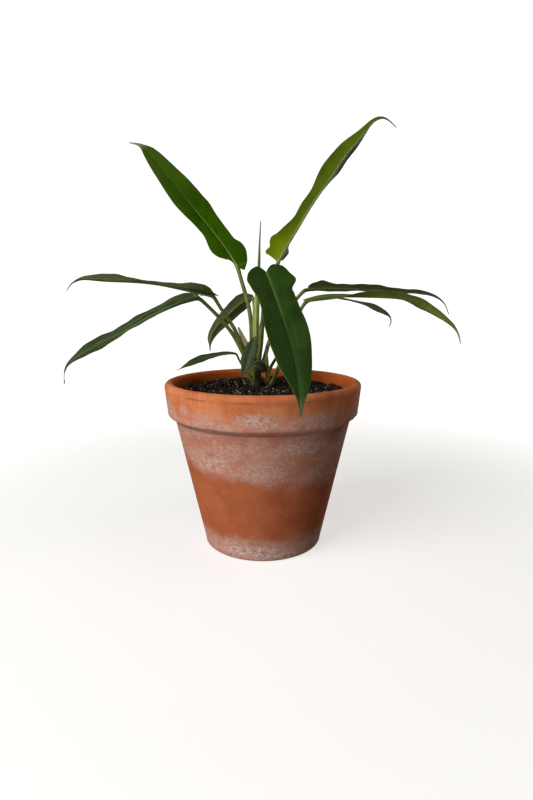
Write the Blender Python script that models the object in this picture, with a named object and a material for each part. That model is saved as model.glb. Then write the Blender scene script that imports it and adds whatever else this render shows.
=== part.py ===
"""Potted philodendron: long narrow leaves on slender stalks, growing in a banded clay pot.

The origin is the middle of the pot's underside, +Z is up and the front is -Y.
Sizes are written in millimetres and become metres as each piece is made.
"""
import bmesh
import bpy
import numpy as np

MM = 0.001                      # one millimetre, in metres
GAP = 0.3                       # clearance between pieces that touch
MERGE = 0.005                   # corners nearer than this are one

# The clay pot
POT_HEIGHT = 170.0
RIM_RADIUS = 100.0              # widest, just under the rounded lip
BASE_RADIUS = 61.3
BODY_TOP_RADIUS = 90.0          # where the body meets the band
BODY_TOP_HEIGHT = 132.5
BAND_FOOT_RADIUS = 97.3         # the band's lower outer corner, over a slanting underside
BAND_FOOT_HEIGHT = 139.5
BAND_CORNER = 3.0               # rounding of that corner
FOOT_CORNER = 2.0               # rounding of the pot's lower edge
LIP_RADIUS = 4.5                # rounding of the lip
WALL = 8.5
WALL_BEVEL = (-4.0, 14.0)       # heights round the body's top that the wall inside leans out between
MOUTH_LEAN = 1.5                # how much the wall inside still widens over that
FLOOR = 11.0
DRAIN_HOLES = 3
DRAIN_RADIUS = 6.0
DRAIN_CIRCLE = 30.0             # distance of the drain holes from the middle
MOUTH_RADIUS = 90.5             # inside, under the lip
BEVEL_HEIGHTS = (BODY_TOP_HEIGHT + WALL_BEVEL[0], BODY_TOP_HEIGHT + WALL_BEVEL[1])
DRAIN_OVERCUT = 5.0             # how far the cutters of the drain holes stand out on both sides
POT_SIDES = 48

# The soil
SOIL_TOP = 157.0                # mean level of its surface at the pot's wall
SOIL_RELIEF = 1.5               # height of the lumps over that level
SOIL_RINGS = 8
SOIL_SKIN = 1.0                 # depth of the layer that takes the lumps
MOUND_HEIGHT = 5.0              # the soil is heaped round the stems
MOUND_PLACE = (-12.0, 38.0)
MOUND_REACH = 45.0              # distance from its top at which it is about a third as high

# Leaves and stalks
BLADE_THICKNESS = 0.8
BLADE_ROWS = 20                 # from joint to tip
SMALL_BLADE_ROWS = 13
HALF_COLUMNS = 3                # from midrib to margin
STALK_STEPS = 11                # points along a stalk
MIDRIB_REACH = 0.8              # share of a blade that its midrib runs under
MIDRIB_SHARES = (0.0, 0.12, MIDRIB_REACH)
MIDRIB_TAPER = (1.0, 0.55, 0.25)    # of the stalk's radius at the joint
MIDRIB_GAP = 0.36               # clearance between a midrib and its blade
STEM_GAP = 0.33                 # clearance round a stem, for its hole and for what it carries
STALK_SHARES = (0.0, 0.35, 1.0)     # where a stalk's three radii are given
ROW_CROWDING = 1.25             # over 1, a blade's rows lie closer together towards its joint
FINE_POINTS = 400               # points that a smooth line is measured with
TUBE_RESOLUTION = 1             # six sides
STEM_RESOLUTION = 3             # ten sides

# Shares of a blade's length at which its half widths and its folds are given
WIDTH_STATIONS = (0.0, 0.03, 0.08, 0.16, 0.28, 0.50, 0.72, 0.86, 0.93, 1.0)
FOLD_STATIONS = (0.0, 0.15, 0.4, 0.7, 1.0)
TIP_HALF_WIDTH = 0.6
LOBE_SHARE = 0.16               # share of the length that the lobes' sweep fades over
LOBE_FADE = 1.5                 # over 1, the sweep fades faster near the joint
LOBE_ROUNDNESS = 0.7            # under 1, a lobe is rounder at the midrib

# Points along the arcs of the pot's profile
FOOT_STEPS = 3
BAND_STEPS = 4
LIP_STEPS = 5

UP = (0.0, 0.0, 1.0)

# Stems that stand in the soil: middle line and radius, from the foot up
MAIN_STEM = dict(
    line=[(-8, 14, 124), (-8, 14, 150), (-8, 14, 168), (-7, 15, 186), (-6, 15, 197), (-6, 15, 205)],
    radius=[5.5, 6.8, 7.0, 6.2, 5.0, 3.8],
)
SIDE_STEM = dict(
    line=[(8, 14, 130), (8, 14, 150), (8, 14, 162), (8, 14, 171)],
    radius=[2.8, 3.4, 3.4, 2.2],
)

# Sheaths and the leaf that is still rolled: each runs out of its stem to a point
SHOOTS = [
    dict(name="rolled_leaf", stem="main_stem", colour="shoot",
         line=[(-6, 15, 200), (-8, 15, 217), (-8, 16, 236), (-6, 15, 260), (-4, 14, 285),
               (-3, 13, 309), (-2, 12, 327)],
         radius=[3.3, 3.4, 3.0, 2.3, 1.6, 1.0, 0.5]),
    dict(name="dry_sheath", stem="main_stem", colour="dry",
         line=[(-9, 10, 190), (-13, 8, 197), (-17, 7, 206), (-21, 7, 214), (-25, 7, 223)],
         radius=[2.0, 1.6, 1.4, 1.2, 0.8]),
    dict(name="tall_sheath", stem="side_stem", colour="sheath",
         line=[(6, 13, 166), (5, 10, 178), (4, 9, 192), (4, 10, 206)],
         radius=[2.2, 1.9, 1.4, 0.4]),
    dict(name="short_sheath", stem="side_stem", colour="sheath",
         line=[(8, 12, 163), (11, 8, 169), (13, 6, 176), (15, 5, 184)],
         radius=[1.9, 1.8, 1.3, 0.4]),
]

# Every leaf. rib: midrib from the joint to the tip. face: which way the upper side looks, from
# joint to tip. left and right: half widths at the width stations. fold_left and fold_right: how
# far each half is lifted, in degrees, at the fold stations. sweep: how far each half's lobe
# reaches back past the joint. wave: count and height of the margin's waves. bumps: swellings and
# notches of a margin, each with its half, its share of the length, its reach and its size. stalk:
# from inside its stem to the joint. stalk_radius: at its foot, in the middle and at the joint.
LEAVES = [
    dict(name="upper_left", stem="main_stem", colour="deep", rows=BLADE_ROWS,
         rib=[(-26, 24, 284), (-42, 32, 308), (-62, 40, 333), (-84, 48, 359), (-107, 54, 387),
              (-122, 58, 405), (-130, 59, 411), (-141, 59, 413)],
         face=[(-0.1, -1, 0.4), (-0.1, -1, 0.4)],
         left=(6, 8, 12, 15, 11, 14, 10.5, 5, 2), right=(5, 12.5, 17, 13, 13.2, 15.5, 12, 6, 1.6),
         fold_left=(12, 12, 12, 12, 20), fold_right=(12, 12, 12, 12, 20), sweep=(-12, 7),
         wave=(3.5, 0.9), bumps=[("right", 0.115, 0.025, 1.0), ("right", 0.40, 0.06, 1.3)],
         stalk=[(-8, 15, 191), (-11, 19, 203), (-12, 22, 222), (-15, 23, 244), (-21, 24, 266)],
         stalk_radius=(2.7, 2.4, 2.0)),
    dict(name="upper_right", stem="main_stem", colour="olive", rows=BLADE_ROWS,
         rib=[(15, 16, 288), (24, 11, 303), (36, 5, 322), (46, 0, 338), (56, -6, 352), (68, -12, 369),
              (79, -17, 384), (90, -20, 396), (98, -22, 406), (104, -23, 410), (111, -23, 410),
              (121, -22, 403)],
         face=[(-0.5, 0.8, 0.35), (-0.5, 0.8, 0.35)],
         left=(7, 10, 11.5, 8.5, 7, 11.5, 9.5, 2.8, 0.9), right=(14, 16, 17.5, 14, 9, 14, 8.5, 2.8, 1.2),
         fold_left=(45, 51, 48, 33, 40), fold_right=(25, 30, 48, 48, 40), sweep=(3, -2),
         wave=(3.0, 0.8),
         bumps=[("right", 0.012, 0.014, 1.4), ("right", 0.05, 0.018, -2.0), ("right", 0.105, 0.02, 1.2),
                ("right", 0.43, 0.075, -3.7), ("left", 0.055, 0.022, 5.0), ("left", 0.55, 0.06, 4.2)],
         stalk=[(-5, 18, 187), (-4, 25, 205), (0, 27, 232), (6, 23, 261)],
         stalk_radius=(2.7, 2.2, 1.8)),
    dict(name="front", stem="main_stem", colour="blue", rows=BLADE_ROWS,
         rib=[(3, -55, 274), (9, -78, 257), (16, -100, 236), (21, -116, 219), (25, -132, 200),
              (27, -145, 180), (28, -152, 164)],
         face=[(0, -0.6, 0.75), (0.05, -0.7, 0.6), (0.1, -0.9, 0.3)],
         left=(9, 15.5, 18.5, 21, 16, 17, 13, 8, 3.5), right=(8, 14, 18.5, 19, 15.5, 18, 14.5, 5.5, 1.6),
         fold_left=(14, 12, 10, 11, 12), fold_right=(14, 12, 10, 11, 12), sweep=(8, 8),
         wave=(2.5, 0.5),
         bumps=[("right", 0.115, 0.03, 1.8), ("left", 0.14, 0.03, 0.8), ("left", 0.215, 0.032, -2.8)],
         stalk=[(-5, 13, 188), (-2, 5, 206), (0, -10, 234), (2, -32, 256)],
         stalk_radius=(2.6, 2.2, 1.8)),
    dict(name="left_high", stem="main_stem", colour="grey", rows=BLADE_ROWS,
         rib=[(-50, 14, 255), (-72, 10, 259), (-101, 6, 265), (-132, 2, 268), (-161, 0, 269),
              (-179, 0, 270), (-189, 0, 266), (-195, 0, 259)],
         face=[UP, UP],
         left=(6, 12, 16, 15, 11, 13, 13, 7, 3), right=(5, 12, 16, 15, 11, 13, 13.5, 8, 3),
         fold_left=(8, 8, 6, 4, 0), fold_right=(34, 38, 12, 33, 29), sweep=(5, 1),
         wave=(3.0, 0.7),
         stalk=[(-8, 14, 176), (-14, 14, 190), (-22, 14, 205), (-30, 15, 222), (-42, 15, 240)],
         stalk_radius=(3.0, 2.3, 1.8)),
    dict(name="left_low", stem="main_stem", colour="green", rows=BLADE_ROWS,
         rib=[(-62, -14, 253), (-82, -20, 246), (-108, -26, 234), (-133, -32, 220), (-158, -36, 207),
              (-176, -39, 196), (-186, -40, 186), (-188, -40, 172)],
         face=[UP, UP],
         left=(6, 11, 15, 15, 12, 14, 13, 7, 3), right=(6, 11, 15, 15, 12, 14, 13, 7, 3),
         fold_left=(4, 2, -6, -17, -13), fold_right=(29, 31, 27, 28, 30), sweep=(5, 1),
         wave=(3.0, 0.8),
         stalk=[(-8, 12, 170), (-14, 9, 184), (-22, 5, 200), (-31, 2, 217), (-46, -6, 236)],
         stalk_radius=(3.0, 2.2, 1.8)),
    dict(name="left_small", stem="main_stem", colour="green", rows=SMALL_BLADE_ROWS,
         rib=[(-27, 2, 197), (-44, -4, 196), (-58, -8, 193), (-71, -12, 188), (-86, -14, 181)],
         face=[UP, UP],
         left=(0.6, 1.5, 3, 4.5, 6, 7, 5.5, 3, 1), right=(0.6, 1.5, 3, 4.5, 6, 7, 6, 3, 1),
         fold_left=(-9, -8, -8, -18, 0), fold_right=(33, 26, 20, 33, 40), sweep=(0, 0),
         wave=(2.0, 0.3),
         stalk=[(-9, 10, 164), (-15, 8, 173), (-21, 7, 183), (-25, 5, 191)],
         stalk_radius=(1.9, 1.2, 1.0)),
    dict(name="front_small", stem="main_stem", colour="blue", rows=SMALL_BLADE_ROWS,
         rib=[(-7, -20, 215), (-10.5, -26, 206.5), (-13.7, -31, 198), (-15.6, -35, 191),
              (-17.4, -38, 184.5), (-19, -40, 178.7), (-18.7, -40.5, 175), (-16.3, -40, 171)],
         face=[(-0.1, -0.9, 0.4), (-0.1, -0.9, 0.4)],
         left=(0.6, 1.5, 2.8, 4.4, 5.8, 6.3, 3.2, 0.8, 0.6),
         right=(0.6, 1.5, 2.8, 4.4, 5.8, 6.3, 3.2, 0.8, 0.6),
         fold_left=(12, 12, 10, 10, 10), fold_right=(12, 12, 10, 10, 10), sweep=(0, 0),
         wave=(1.5, 0.2),
         stalk=[(-8, 12, 166), (-9, 4, 176), (-9, -3, 190), (-8, -12, 205)],
         stalk_radius=(1.9, 1.3, 1.0)),
    dict(name="back", stem="main_stem", colour="grey", rows=BLADE_ROWS,
         rib=[(-10, 45, 254), (-22, 60, 249), (-39, 74, 235), (-53, 82, 221), (-61, 88, 207),
              (-63, 90, 191)],
         face=[(0.1, 0.35, 1), (0.2, 0.6, 0.8), (0.3, 0.7, 0.7)],
         left=(4, 8, 10.5, 10.5, 10, 8, 5.5, 4.5, 2), right=(1, 2.5, 5, 8.5, 12.5, 11, 7, 3, 1),
         fold_left=(14, 12, 10, 10, 10), fold_right=(14, 12, 10, 10, 10), sweep=(2, -2),
         wave=(2.5, 0.5),
         stalk=[(-9, 17, 170), (-10, 25, 184), (-10, 31, 206), (-9, 38, 232)],
         stalk_radius=(2.6, 2.0, 1.6)),
    dict(name="right_high", stem="main_stem", colour="deep", rows=BLADE_ROWS,
         rib=[(44, 30, 262), (65, 38, 262), (95, 46, 262), (131, 52, 261), (161, 56, 259),
              (186, 58, 256), (201, 58, 248), (208, 58, 235)],
         face=[UP, UP],
         left=(4, 11, 14, 13, 11.5, 12.5, 11.5, 7, 2.5), right=(6, 11, 14, 13, 11, 13, 12, 7, 2.5),
         fold_left=(14, 38, 31, 22, 24), fold_right=(-8, -12, -12, -10, -6), sweep=(-6, 3),
         wave=(3.0, 0.6), bumps=[("left", 0.15, 0.03, 2.2), ("left", 0.23, 0.04, -1.8)],
         stalk=[(-4, 15, 176), (2, 16, 191), (6, 18, 206), (15, 22, 225), (28, 26, 243)],
         stalk_radius=(2.6, 2.2, 1.9)),
    dict(name="right_low", stem="side_stem", colour="olive", rows=BLADE_ROWS,
         rib=[(44, 8, 250), (60, 2, 253), (87, -3, 254), (117, -8, 253), (142, -12, 250),
              (163, -15, 240), (181, -17, 228), (190, -18, 219), (194, -18, 208)],
         face=[UP, UP],
         left=(5, 9, 12, 12, 10, 12, 9.5, 3.2, 1.2), right=(4, 8, 11, 12, 11, 12.5, 9.5, 6.5, 2.2),
         fold_left=(18, 12, 14, -12, -10), fold_right=(-22, -15, 26, 28, 20), sweep=(4, 2),
         wave=(3.0, 0.7),
         stalk=[(8, 15, 163), (14, 16, 175), (25, 14, 203), (35, 10, 232), (40, 9, 243)],
         stalk_radius=(2.2, 2.0, 1.8)),
    dict(name="right_short", stem="side_stem", colour="grey", rows=SMALL_BLADE_ROWS,
         rib=[(45, 26, 251), (53, 26, 253), (64, 26, 254), (77, 27, 253), (94, 29, 250),
              (112, 34, 245), (129, 38, 238.5), (138, 40, 232), (139, 40, 227), (137.6, 40, 222)],
         face=[UP, UP, (1, 0, 0.3)],
         left=(3, 6, 8, 8, 6.5, 6.5, 8.5, 5, 1.8), right=(3, 6, 7, 7, 6.5, 6.5, 8.5, 5, 1.8),
         fold_left=(5, 2, 10, 24, 30), fold_right=(0, 0, -14, -20, -10), sweep=(3, 3),
         wave=(2.0, 0.3),
         stalk=[(5, 16.5, 163), (5, 22, 171), (12, 27, 186), (24, 27, 202), (33, 27, 219),
                (39, 26, 237)],
         stalk_radius=(2.0, 1.7, 1.5)),
    dict(name="crown_tiny", stem="side_stem", colour="grey", rows=SMALL_BLADE_ROWS,
         rib=[(4, -2, 178), (-1, -7, 184), (-7, -12, 186.5), (-13, -17, 184)],
         face=[(0, -1, 0.4), (0, -1, 0.4)],
         left=(0.5, 1.4, 2.4, 3.4, 4.2, 4.6, 3.4, 2, 1), right=(0.5, 1.4, 2.4, 3.4, 4.2, 4.6, 3.4, 2, 1),
         fold_left=(14, 14, 14, 14, 14), fold_right=(14, 14, 14, 14, 14), sweep=(0, 0),
         wave=(1.0, 0.1),
         stalk=[(6, 13, 162), (3.2, 9, 166), (3.2, 3, 172.5)],
         stalk_radius=(1.4, 1.0, 0.8)),
]

# Base colour and roughness of each finish
FINISHES = {
    "clay": ((0.52, 0.21, 0.11), 0.9),
    "soil": ((0.02, 0.015, 0.012), 1.0),
    "stem": ((0.09, 0.08, 0.03), 0.7),
    "stalk": ((0.16, 0.24, 0.05), 0.45),
    "shoot": ((0.38, 0.46, 0.16), 0.4),
    "sheath": ((0.17, 0.22, 0.06), 0.5),
    "dry": ((0.45, 0.33, 0.20), 0.8),
    "deep": ((0.02, 0.09, 0.01), 0.35),
    "olive": ((0.14, 0.22, 0.01), 0.35),
    "blue": ((0.02, 0.08, 0.03), 0.35),
    "grey": ((0.06, 0.10, 0.05), 0.4),
    "green": ((0.03, 0.10, 0.03), 0.35),
}


def clear_scene():
    """Empty the scene of its objects."""
    for item in list(bpy.data.objects):
        bpy.data.objects.remove(item, do_unlink=True)


def finish(node_name, key):
    """A material for one node, in the colour and roughness of a finish."""
    colour, roughness = FINISHES[key]
    made = bpy.data.materials.new(node_name + "_finish")
    made.use_nodes = True
    shader = made.node_tree.nodes["Principled BSDF"]
    shader.inputs["Base Color"].default_value = (*colour, 1.0)
    shader.inputs["Roughness"].default_value = roughness
    shader.inputs["Metallic"].default_value = 0.0
    return made


def add_object(name, mesh, key, smooth_angle=40.0):
    """Put a mesh in the scene under a node's name, shaded smooth but for its sharp edges."""
    mesh.name = name
    mesh.shade_smooth()
    mesh.set_sharp_from_angle(angle=np.radians(smooth_angle))
    mesh.materials.clear()
    mesh.materials.append(finish(name, key))
    made = bpy.data.objects.new(name, mesh)
    bpy.context.collection.objects.link(made)
    return made


def arc(centre, radius, start, end, steps):
    """Points on an arc, from one angle to another in degrees."""
    angles = np.radians(np.linspace(start, end, steps))
    return [(centre[0] + radius * np.cos(a), centre[1] + radius * np.sin(a)) for a in angles]


def smooth_line(points, shares):
    """Points at the given shares of the length of a natural cubic spline through the points."""
    points = np.array(points, float)
    knots = np.append(0.0, np.cumsum(np.linalg.norm(np.diff(points, axis=0), axis=1) ** 0.5))
    steps = np.diff(knots)[:, None]
    count = len(points)
    system = np.eye(count)
    bends = np.zeros((count, 3))
    slopes = np.diff(points, axis=0) / steps
    for i in range(1, count - 1):
        system[i, i - 1:i + 2] = steps[i - 1, 0], 2 * (steps[i - 1, 0] + steps[i, 0]), steps[i, 0]
        bends[i] = 6 * (slopes[i] - slopes[i - 1])
    bends = np.linalg.solve(system, bends)
    at = np.linspace(0.0, knots[-1], FINE_POINTS)
    k = np.clip(np.searchsorted(knots, at, side="right") - 1, 0, count - 2)
    before = (at - knots[k])[:, None]
    after = (knots[k + 1] - at)[:, None]
    step = steps[k]
    fine = (bends[k] * after ** 3 + bends[k + 1] * before ** 3) / (6 * step)
    fine += (points[k] / step - bends[k] * step / 6) * after
    fine += (points[k + 1] / step - bends[k + 1] * step / 6) * before
    reach = np.append(0.0, np.cumsum(np.linalg.norm(np.diff(fine, axis=0), axis=1)))
    wanted = np.asarray(shares) * reach[-1]
    return np.stack([np.interp(wanted, reach, fine[:, axis]) for axis in range(3)], axis=1)


def smooth_values(stations, values, at):
    """A curve through (station, value) pairs that never swings past them."""
    x = np.array(stations, float)
    y = np.array(values, float)
    step = np.diff(x)
    rise = np.diff(y) / step
    slope = np.zeros(len(x))
    same_way = rise[:-1] * rise[1:] > 0
    weight_a = 2 * step[1:] + step[:-1]
    weight_b = step[1:] + 2 * step[:-1]
    safe_a = np.where(same_way, rise[:-1], 1.0)
    safe_b = np.where(same_way, rise[1:], 1.0)
    mean = (weight_a + weight_b) / (weight_a / safe_a + weight_b / safe_b)
    slope[1:-1] = np.where(same_way, mean, 0.0)
    slope[0] = rise[0]
    slope[-1] = rise[-1]
    k = np.clip(np.searchsorted(x, at, side="right") - 1, 0, len(x) - 2)
    u = (at - x[k]) / step[k]
    curve = (2 * u ** 3 - 3 * u ** 2 + 1) * y[k] + (3 * u ** 2 - 2 * u ** 3) * y[k + 1]
    return curve + step[k] * ((u ** 3 - 2 * u ** 2 + u) * slope[k] + (u ** 3 - u ** 2) * slope[k + 1])


def turned(profile, sides):
    """Spin a closed profile of (radius, height) points round the Z axis."""
    shape = bmesh.new()
    corners = [shape.verts.new((radius * MM, 0.0, height * MM)) for radius, height in profile]
    edges = [shape.edges.new((a, b)) for a, b in zip(corners, corners[1:] + corners[:1])]
    bmesh.ops.spin(shape, geom=corners + edges, cent=(0, 0, 0), axis=(0, 0, 1),
                   angle=2 * np.pi, steps=sides, use_merge=True)
    bmesh.ops.remove_doubles(shape, verts=shape.verts[:], dist=MERGE * MM)
    bmesh.ops.recalc_face_normals(shape, faces=shape.faces[:])
    mesh = bpy.data.meshes.new("turned")
    shape.to_mesh(mesh)
    shape.free()
    return mesh


def tube(points, radii, resolution):
    """A round rod along points, with a radius at each and flat ends."""
    path = bpy.data.curves.new("tube", "CURVE")
    path.dimensions = "3D"
    path.bevel_depth = MM
    path.bevel_resolution = resolution
    path.use_fill_caps = True
    spline = path.splines.new("POLY")
    spline.points.add(len(points) - 1)
    for corner, place, radius in zip(spline.points, points, radii):
        corner.co = (*(np.array(place) * MM), 1.0)
        corner.radius = radius
    holder = bpy.data.objects.new("tube", path)
    bpy.context.collection.objects.link(holder)
    evaluated = holder.evaluated_get(bpy.context.evaluated_depsgraph_get())
    mesh = bpy.data.meshes.new_from_object(evaluated)
    bpy.data.objects.remove(holder, do_unlink=True)
    bpy.data.curves.remove(path)
    shape = bmesh.new()
    shape.from_mesh(mesh)
    bmesh.ops.remove_doubles(shape, verts=shape.verts[:], dist=MERGE * MM)
    shape.to_mesh(mesh)
    shape.free()
    return mesh


def cut_clear(piece, cutter):
    """Cut a piece back to where it clears another."""
    cut = piece.modifiers.new("clear of " + cutter.name, "BOOLEAN")
    cut.operation = "DIFFERENCE"
    cut.solver = "EXACT"
    cut.object = cutter


def add_cutter(name, mesh):
    """A shape that only cuts others: drawn as wires and never rendered."""
    cutter = bpy.data.objects.new(name, mesh)
    bpy.context.collection.objects.link(cutter)
    cutter.hide_render = True
    cutter.display_type = "WIRE"
    return cutter


def inner_radius(height):
    """Radius of the pot's inner wall: the body's wall, then a bevel out to the mouth."""
    heights = (FLOOR, *BEVEL_HEIGHTS, POT_HEIGHT - LIP_RADIUS)
    lower = BASE_RADIUS + (BODY_TOP_RADIUS - BASE_RADIUS) * FLOOR / BODY_TOP_HEIGHT - WALL
    radii = (lower, BODY_TOP_RADIUS - WALL, MOUTH_RADIUS - MOUTH_LEAN, MOUTH_RADIUS)
    return np.interp(height, heights, radii)


def make_pot():
    """The clay pot: a tapered body, a band round the top with a rounded lip, drain holes."""
    foot = arc((BASE_RADIUS - FOOT_CORNER, FOOT_CORNER), FOOT_CORNER, -90, -12, FOOT_STEPS)
    body_top = [(BODY_TOP_RADIUS, BODY_TOP_HEIGHT)]
    corner = arc((BAND_FOOT_RADIUS - BAND_CORNER, BAND_FOOT_HEIGHT), BAND_CORNER, -50, 0, BAND_STEPS)
    outer_lip = arc((RIM_RADIUS - LIP_RADIUS, POT_HEIGHT - LIP_RADIUS), LIP_RADIUS, 0, 90, LIP_STEPS)
    inner_lip = arc((MOUTH_RADIUS + LIP_RADIUS, POT_HEIGHT - LIP_RADIUS), LIP_RADIUS, 90, 180, LIP_STEPS)
    wall = [(inner_radius(height), height) for height in (*BEVEL_HEIGHTS[::-1], FLOOR)]
    axis = [(0.0, FLOOR), (0.0, 0.0)]
    profile = axis + foot + body_top + corner + outer_lip + inner_lip[1:] + wall
    pot = add_object("pot", turned(profile, POT_SIDES), "clay")
    for number in range(DRAIN_HOLES):
        angle = 2 * np.pi * (number + 0.5) / DRAIN_HOLES
        x, y = DRAIN_CIRCLE * np.cos(angle), DRAIN_CIRCLE * np.sin(angle)
        ends = [(x, y, -DRAIN_OVERCUT), (x, y, FLOOR + DRAIN_OVERCUT)]
        cutter = tube(ends, [DRAIN_RADIUS] * 2, STEM_RESOLUTION)
        cut_clear(pot, add_cutter(f"drain_{number}", cutter))
    return pot


def soil_height(x, y):
    """Relief of the soil, in millimetres over its mean level: a mound and three crossing swells."""
    away = np.hypot(x - MOUND_PLACE[0], y - MOUND_PLACE[1]) / MOUND_REACH
    mound = MOUND_HEIGHT * np.exp(-away ** 2)
    swells = 0.45 * np.sin(x / 6.1 + 1.3) * np.cos(y / 5.3)
    swells += 0.35 * np.sin((x + y) / 4.1 + 0.4) * np.sin((x - 2 * y) / 7.7)
    swells += 0.30 * np.cos(x / 17.0 - 0.7) * np.cos(y / 14.0 + 0.9)
    return mound + SOIL_RELIEF * swells


def make_soil():
    """The soil: fills the pot a little short of the lip, with a lumpy top."""
    heights = (SOIL_TOP, *BEVEL_HEIGHTS[::-1], FLOOR + GAP)
    side = [(inner_radius(height) - GAP, height) for height in heights]
    rings = np.linspace(0.0, side[0][0], SOIL_RINGS)[:-1]
    profile = [(radius, SOIL_TOP) for radius in rings] + side + [(0.0, FLOOR + GAP)]
    mesh = turned(profile, POT_SIDES)
    for corner in mesh.vertices:
        if corner.co.z > (SOIL_TOP - SOIL_SKIN) * MM:
            corner.co.z += soil_height(corner.co.x / MM, corner.co.y / MM) * MM
    return add_object("soil", mesh, "soil", smooth_angle=80.0)


def make_stem(name, stem, soil):
    """A stem that stands in a plain hole in the soil, and the clearance round it as a cutter."""
    shares = np.linspace(0.0, 1.0, 3 * len(stem["line"]))
    points = smooth_line(stem["line"], shares)
    radii = np.interp(shares, np.linspace(0.0, 1.0, len(stem["radius"])), stem["radius"])
    made = add_object(name, tube(points, radii, STEM_RESOLUTION), "stem")
    below = points[0] - (0.0, 0.0, GAP)
    above = points[-1] + (0.0, 0.0, GAP)
    clearance_points = np.vstack([below, points[1:-1], above])
    clearance = tube(clearance_points, radii + STEM_GAP, STEM_RESOLUTION)
    cutter = add_cutter(name + "_clearance", clearance)
    cut_clear(soil, cutter)
    return made, cutter


def make_shoot(shoot, cutters):
    """A pointed shoot or sheath that starts at the side of its stem."""
    shares = np.linspace(0.0, 1.0, 3 * len(shoot["line"]))
    points = smooth_line(shoot["line"], shares)
    radii = smooth_values(np.linspace(0.0, 1.0, len(shoot["radius"])), shoot["radius"], shares)
    made = add_object(shoot["name"], tube(points, radii, TUBE_RESOLUTION + 1), shoot["colour"])
    cut_clear(made, cutters[shoot["stem"]])
    return made


def leaf_frame(leaf):
    """Rows of a leaf: shares of its length, middle line, and tangent, face and side directions."""
    shares = np.linspace(0.0, 1.0, leaf["rows"]) ** ROW_CROWDING
    middle = smooth_line(leaf["rib"], shares)
    tangent = np.gradient(middle, axis=0)
    tangent /= np.linalg.norm(tangent, axis=1)[:, None]
    faces = np.array(leaf["face"], float)
    faces /= np.linalg.norm(faces, axis=1)[:, None]
    keys = np.linspace(0.0, 1.0, len(faces))
    up = np.stack([np.interp(shares, keys, faces[:, axis]) for axis in range(3)], axis=1)
    up -= np.sum(up * tangent, axis=1)[:, None] * tangent
    up /= np.linalg.norm(up, axis=1)[:, None]
    return shares, middle, tangent, up, np.cross(tangent, up)


def half_width(leaf, half, shares):
    """Distance from the midrib to one margin: its stations, with the swellings and notches added."""
    width = smooth_values(WIDTH_STATIONS, (*leaf[half], TIP_HALF_WIDTH), shares)
    for place, share, reach, size in leaf.get("bumps", ()):
        if place == half:
            width += size * np.exp(-((shares - share) / reach) ** 2)
    return width


def make_blade(leaf):
    """A leaf's blade: each row runs from the left margin over the midrib to the right margin."""
    shares, middle, tangent, up, side = leaf_frame(leaf)
    halves = []
    for sign, widths, folds, sweep in ((-1, "left", "fold_left", leaf["sweep"][0]),
                                       (1, "right", "fold_right", leaf["sweep"][1])):
        width = half_width(leaf, widths, shares)
        fold = np.radians(smooth_values(FOLD_STATIONS, leaf[folds], shares))
        back = sweep * np.clip(1.0 - shares / LOBE_SHARE, 0.0, 1.0) ** LOBE_FADE
        waves, height = leaf["wave"]
        ripple = height * np.sin(2 * np.pi * waves * shares + sign) * np.sin(np.pi * shares)
        across = np.linspace(0.0, 1.0, HALF_COLUMNS + 1)[1:, None]
        out = sign * across * width * np.cos(fold)
        lift = across * width * np.sin(fold) + across ** 2 * ripple
        behind = across ** LOBE_ROUNDNESS * back
        half = middle + out[..., None] * side + lift[..., None] * up - behind[..., None] * tangent
        halves.append(half)
    columns = np.concatenate([halves[0][::-1], middle[None], halves[1]]) * MM
    rows = len(shares)
    index = np.arange(len(columns) * rows).reshape(len(columns), rows)
    quads = np.stack([index[:-1, :-1], index[1:, :-1], index[1:, 1:], index[:-1, 1:]], axis=-1)
    mesh = bpy.data.meshes.new("blade")
    mesh.from_pydata(columns.reshape(-1, 3).tolist(), [], quads.reshape(-1, 4).tolist())
    shape = bmesh.new()
    shape.from_mesh(mesh)
    bmesh.ops.triangulate(shape, faces=shape.faces[:])
    shape.to_mesh(mesh)
    shape.free()
    made = add_object("blade_" + leaf["name"], mesh, leaf["colour"])
    thick = made.modifiers.new("thickness", "SOLIDIFY")
    thick.thickness = BLADE_THICKNESS * MM
    thick.offset = 0.0
    return made


def make_stalk(leaf, cutters):
    """A leaf's stalk, from its stem to the joint and on under the blade as the midrib."""
    shares, middle, _, up, side = leaf_frame(leaf)
    under = shares <= MIDRIB_REACH
    foot_radius, mid_radius, joint_radius = leaf["stalk_radius"]
    rib_radii = joint_radius * np.interp(shares[under], MIDRIB_SHARES, MIDRIB_TAPER)
    fold_left = smooth_values(FOLD_STATIONS, leaf["fold_left"], shares[under])
    fold_right = smooth_values(FOLD_STATIONS, leaf["fold_right"], shares[under])
    lean = np.radians((fold_right - fold_left) / 2)[:, None]
    keel = np.sin(lean) * side[under] - np.cos(lean) * up[under]
    depth = BLADE_THICKNESS / 2 + MIDRIB_GAP + rib_radii
    rib = middle[under] + keel * depth[:, None]
    steps = np.linspace(0.0, 1.0, STALK_STEPS)
    stalk = smooth_line([*leaf["stalk"], rib[0]], steps)
    stalk_radii = np.interp(steps, STALK_SHARES, (foot_radius, mid_radius, joint_radius))
    points = np.vstack([stalk[:-1], rib])
    radii = np.append(stalk_radii[:-1], rib_radii)
    made = add_object("stalk_" + leaf["name"], tube(points, radii, TUBE_RESOLUTION), "stalk")
    cut_clear(made, cutters[leaf["stem"]])
    return made


clear_scene()
make_pot()
soil = make_soil()
cutters = {}
for stem_name, stem in (("main_stem", MAIN_STEM), ("side_stem", SIDE_STEM)):
    _, cutters[stem_name] = make_stem(stem_name, stem, soil)
for shoot in SHOOTS:
    make_shoot(shoot, cutters)
for leaf in LEAVES:
    make_blade(leaf)
    make_stalk(leaf, cutters)
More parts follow.
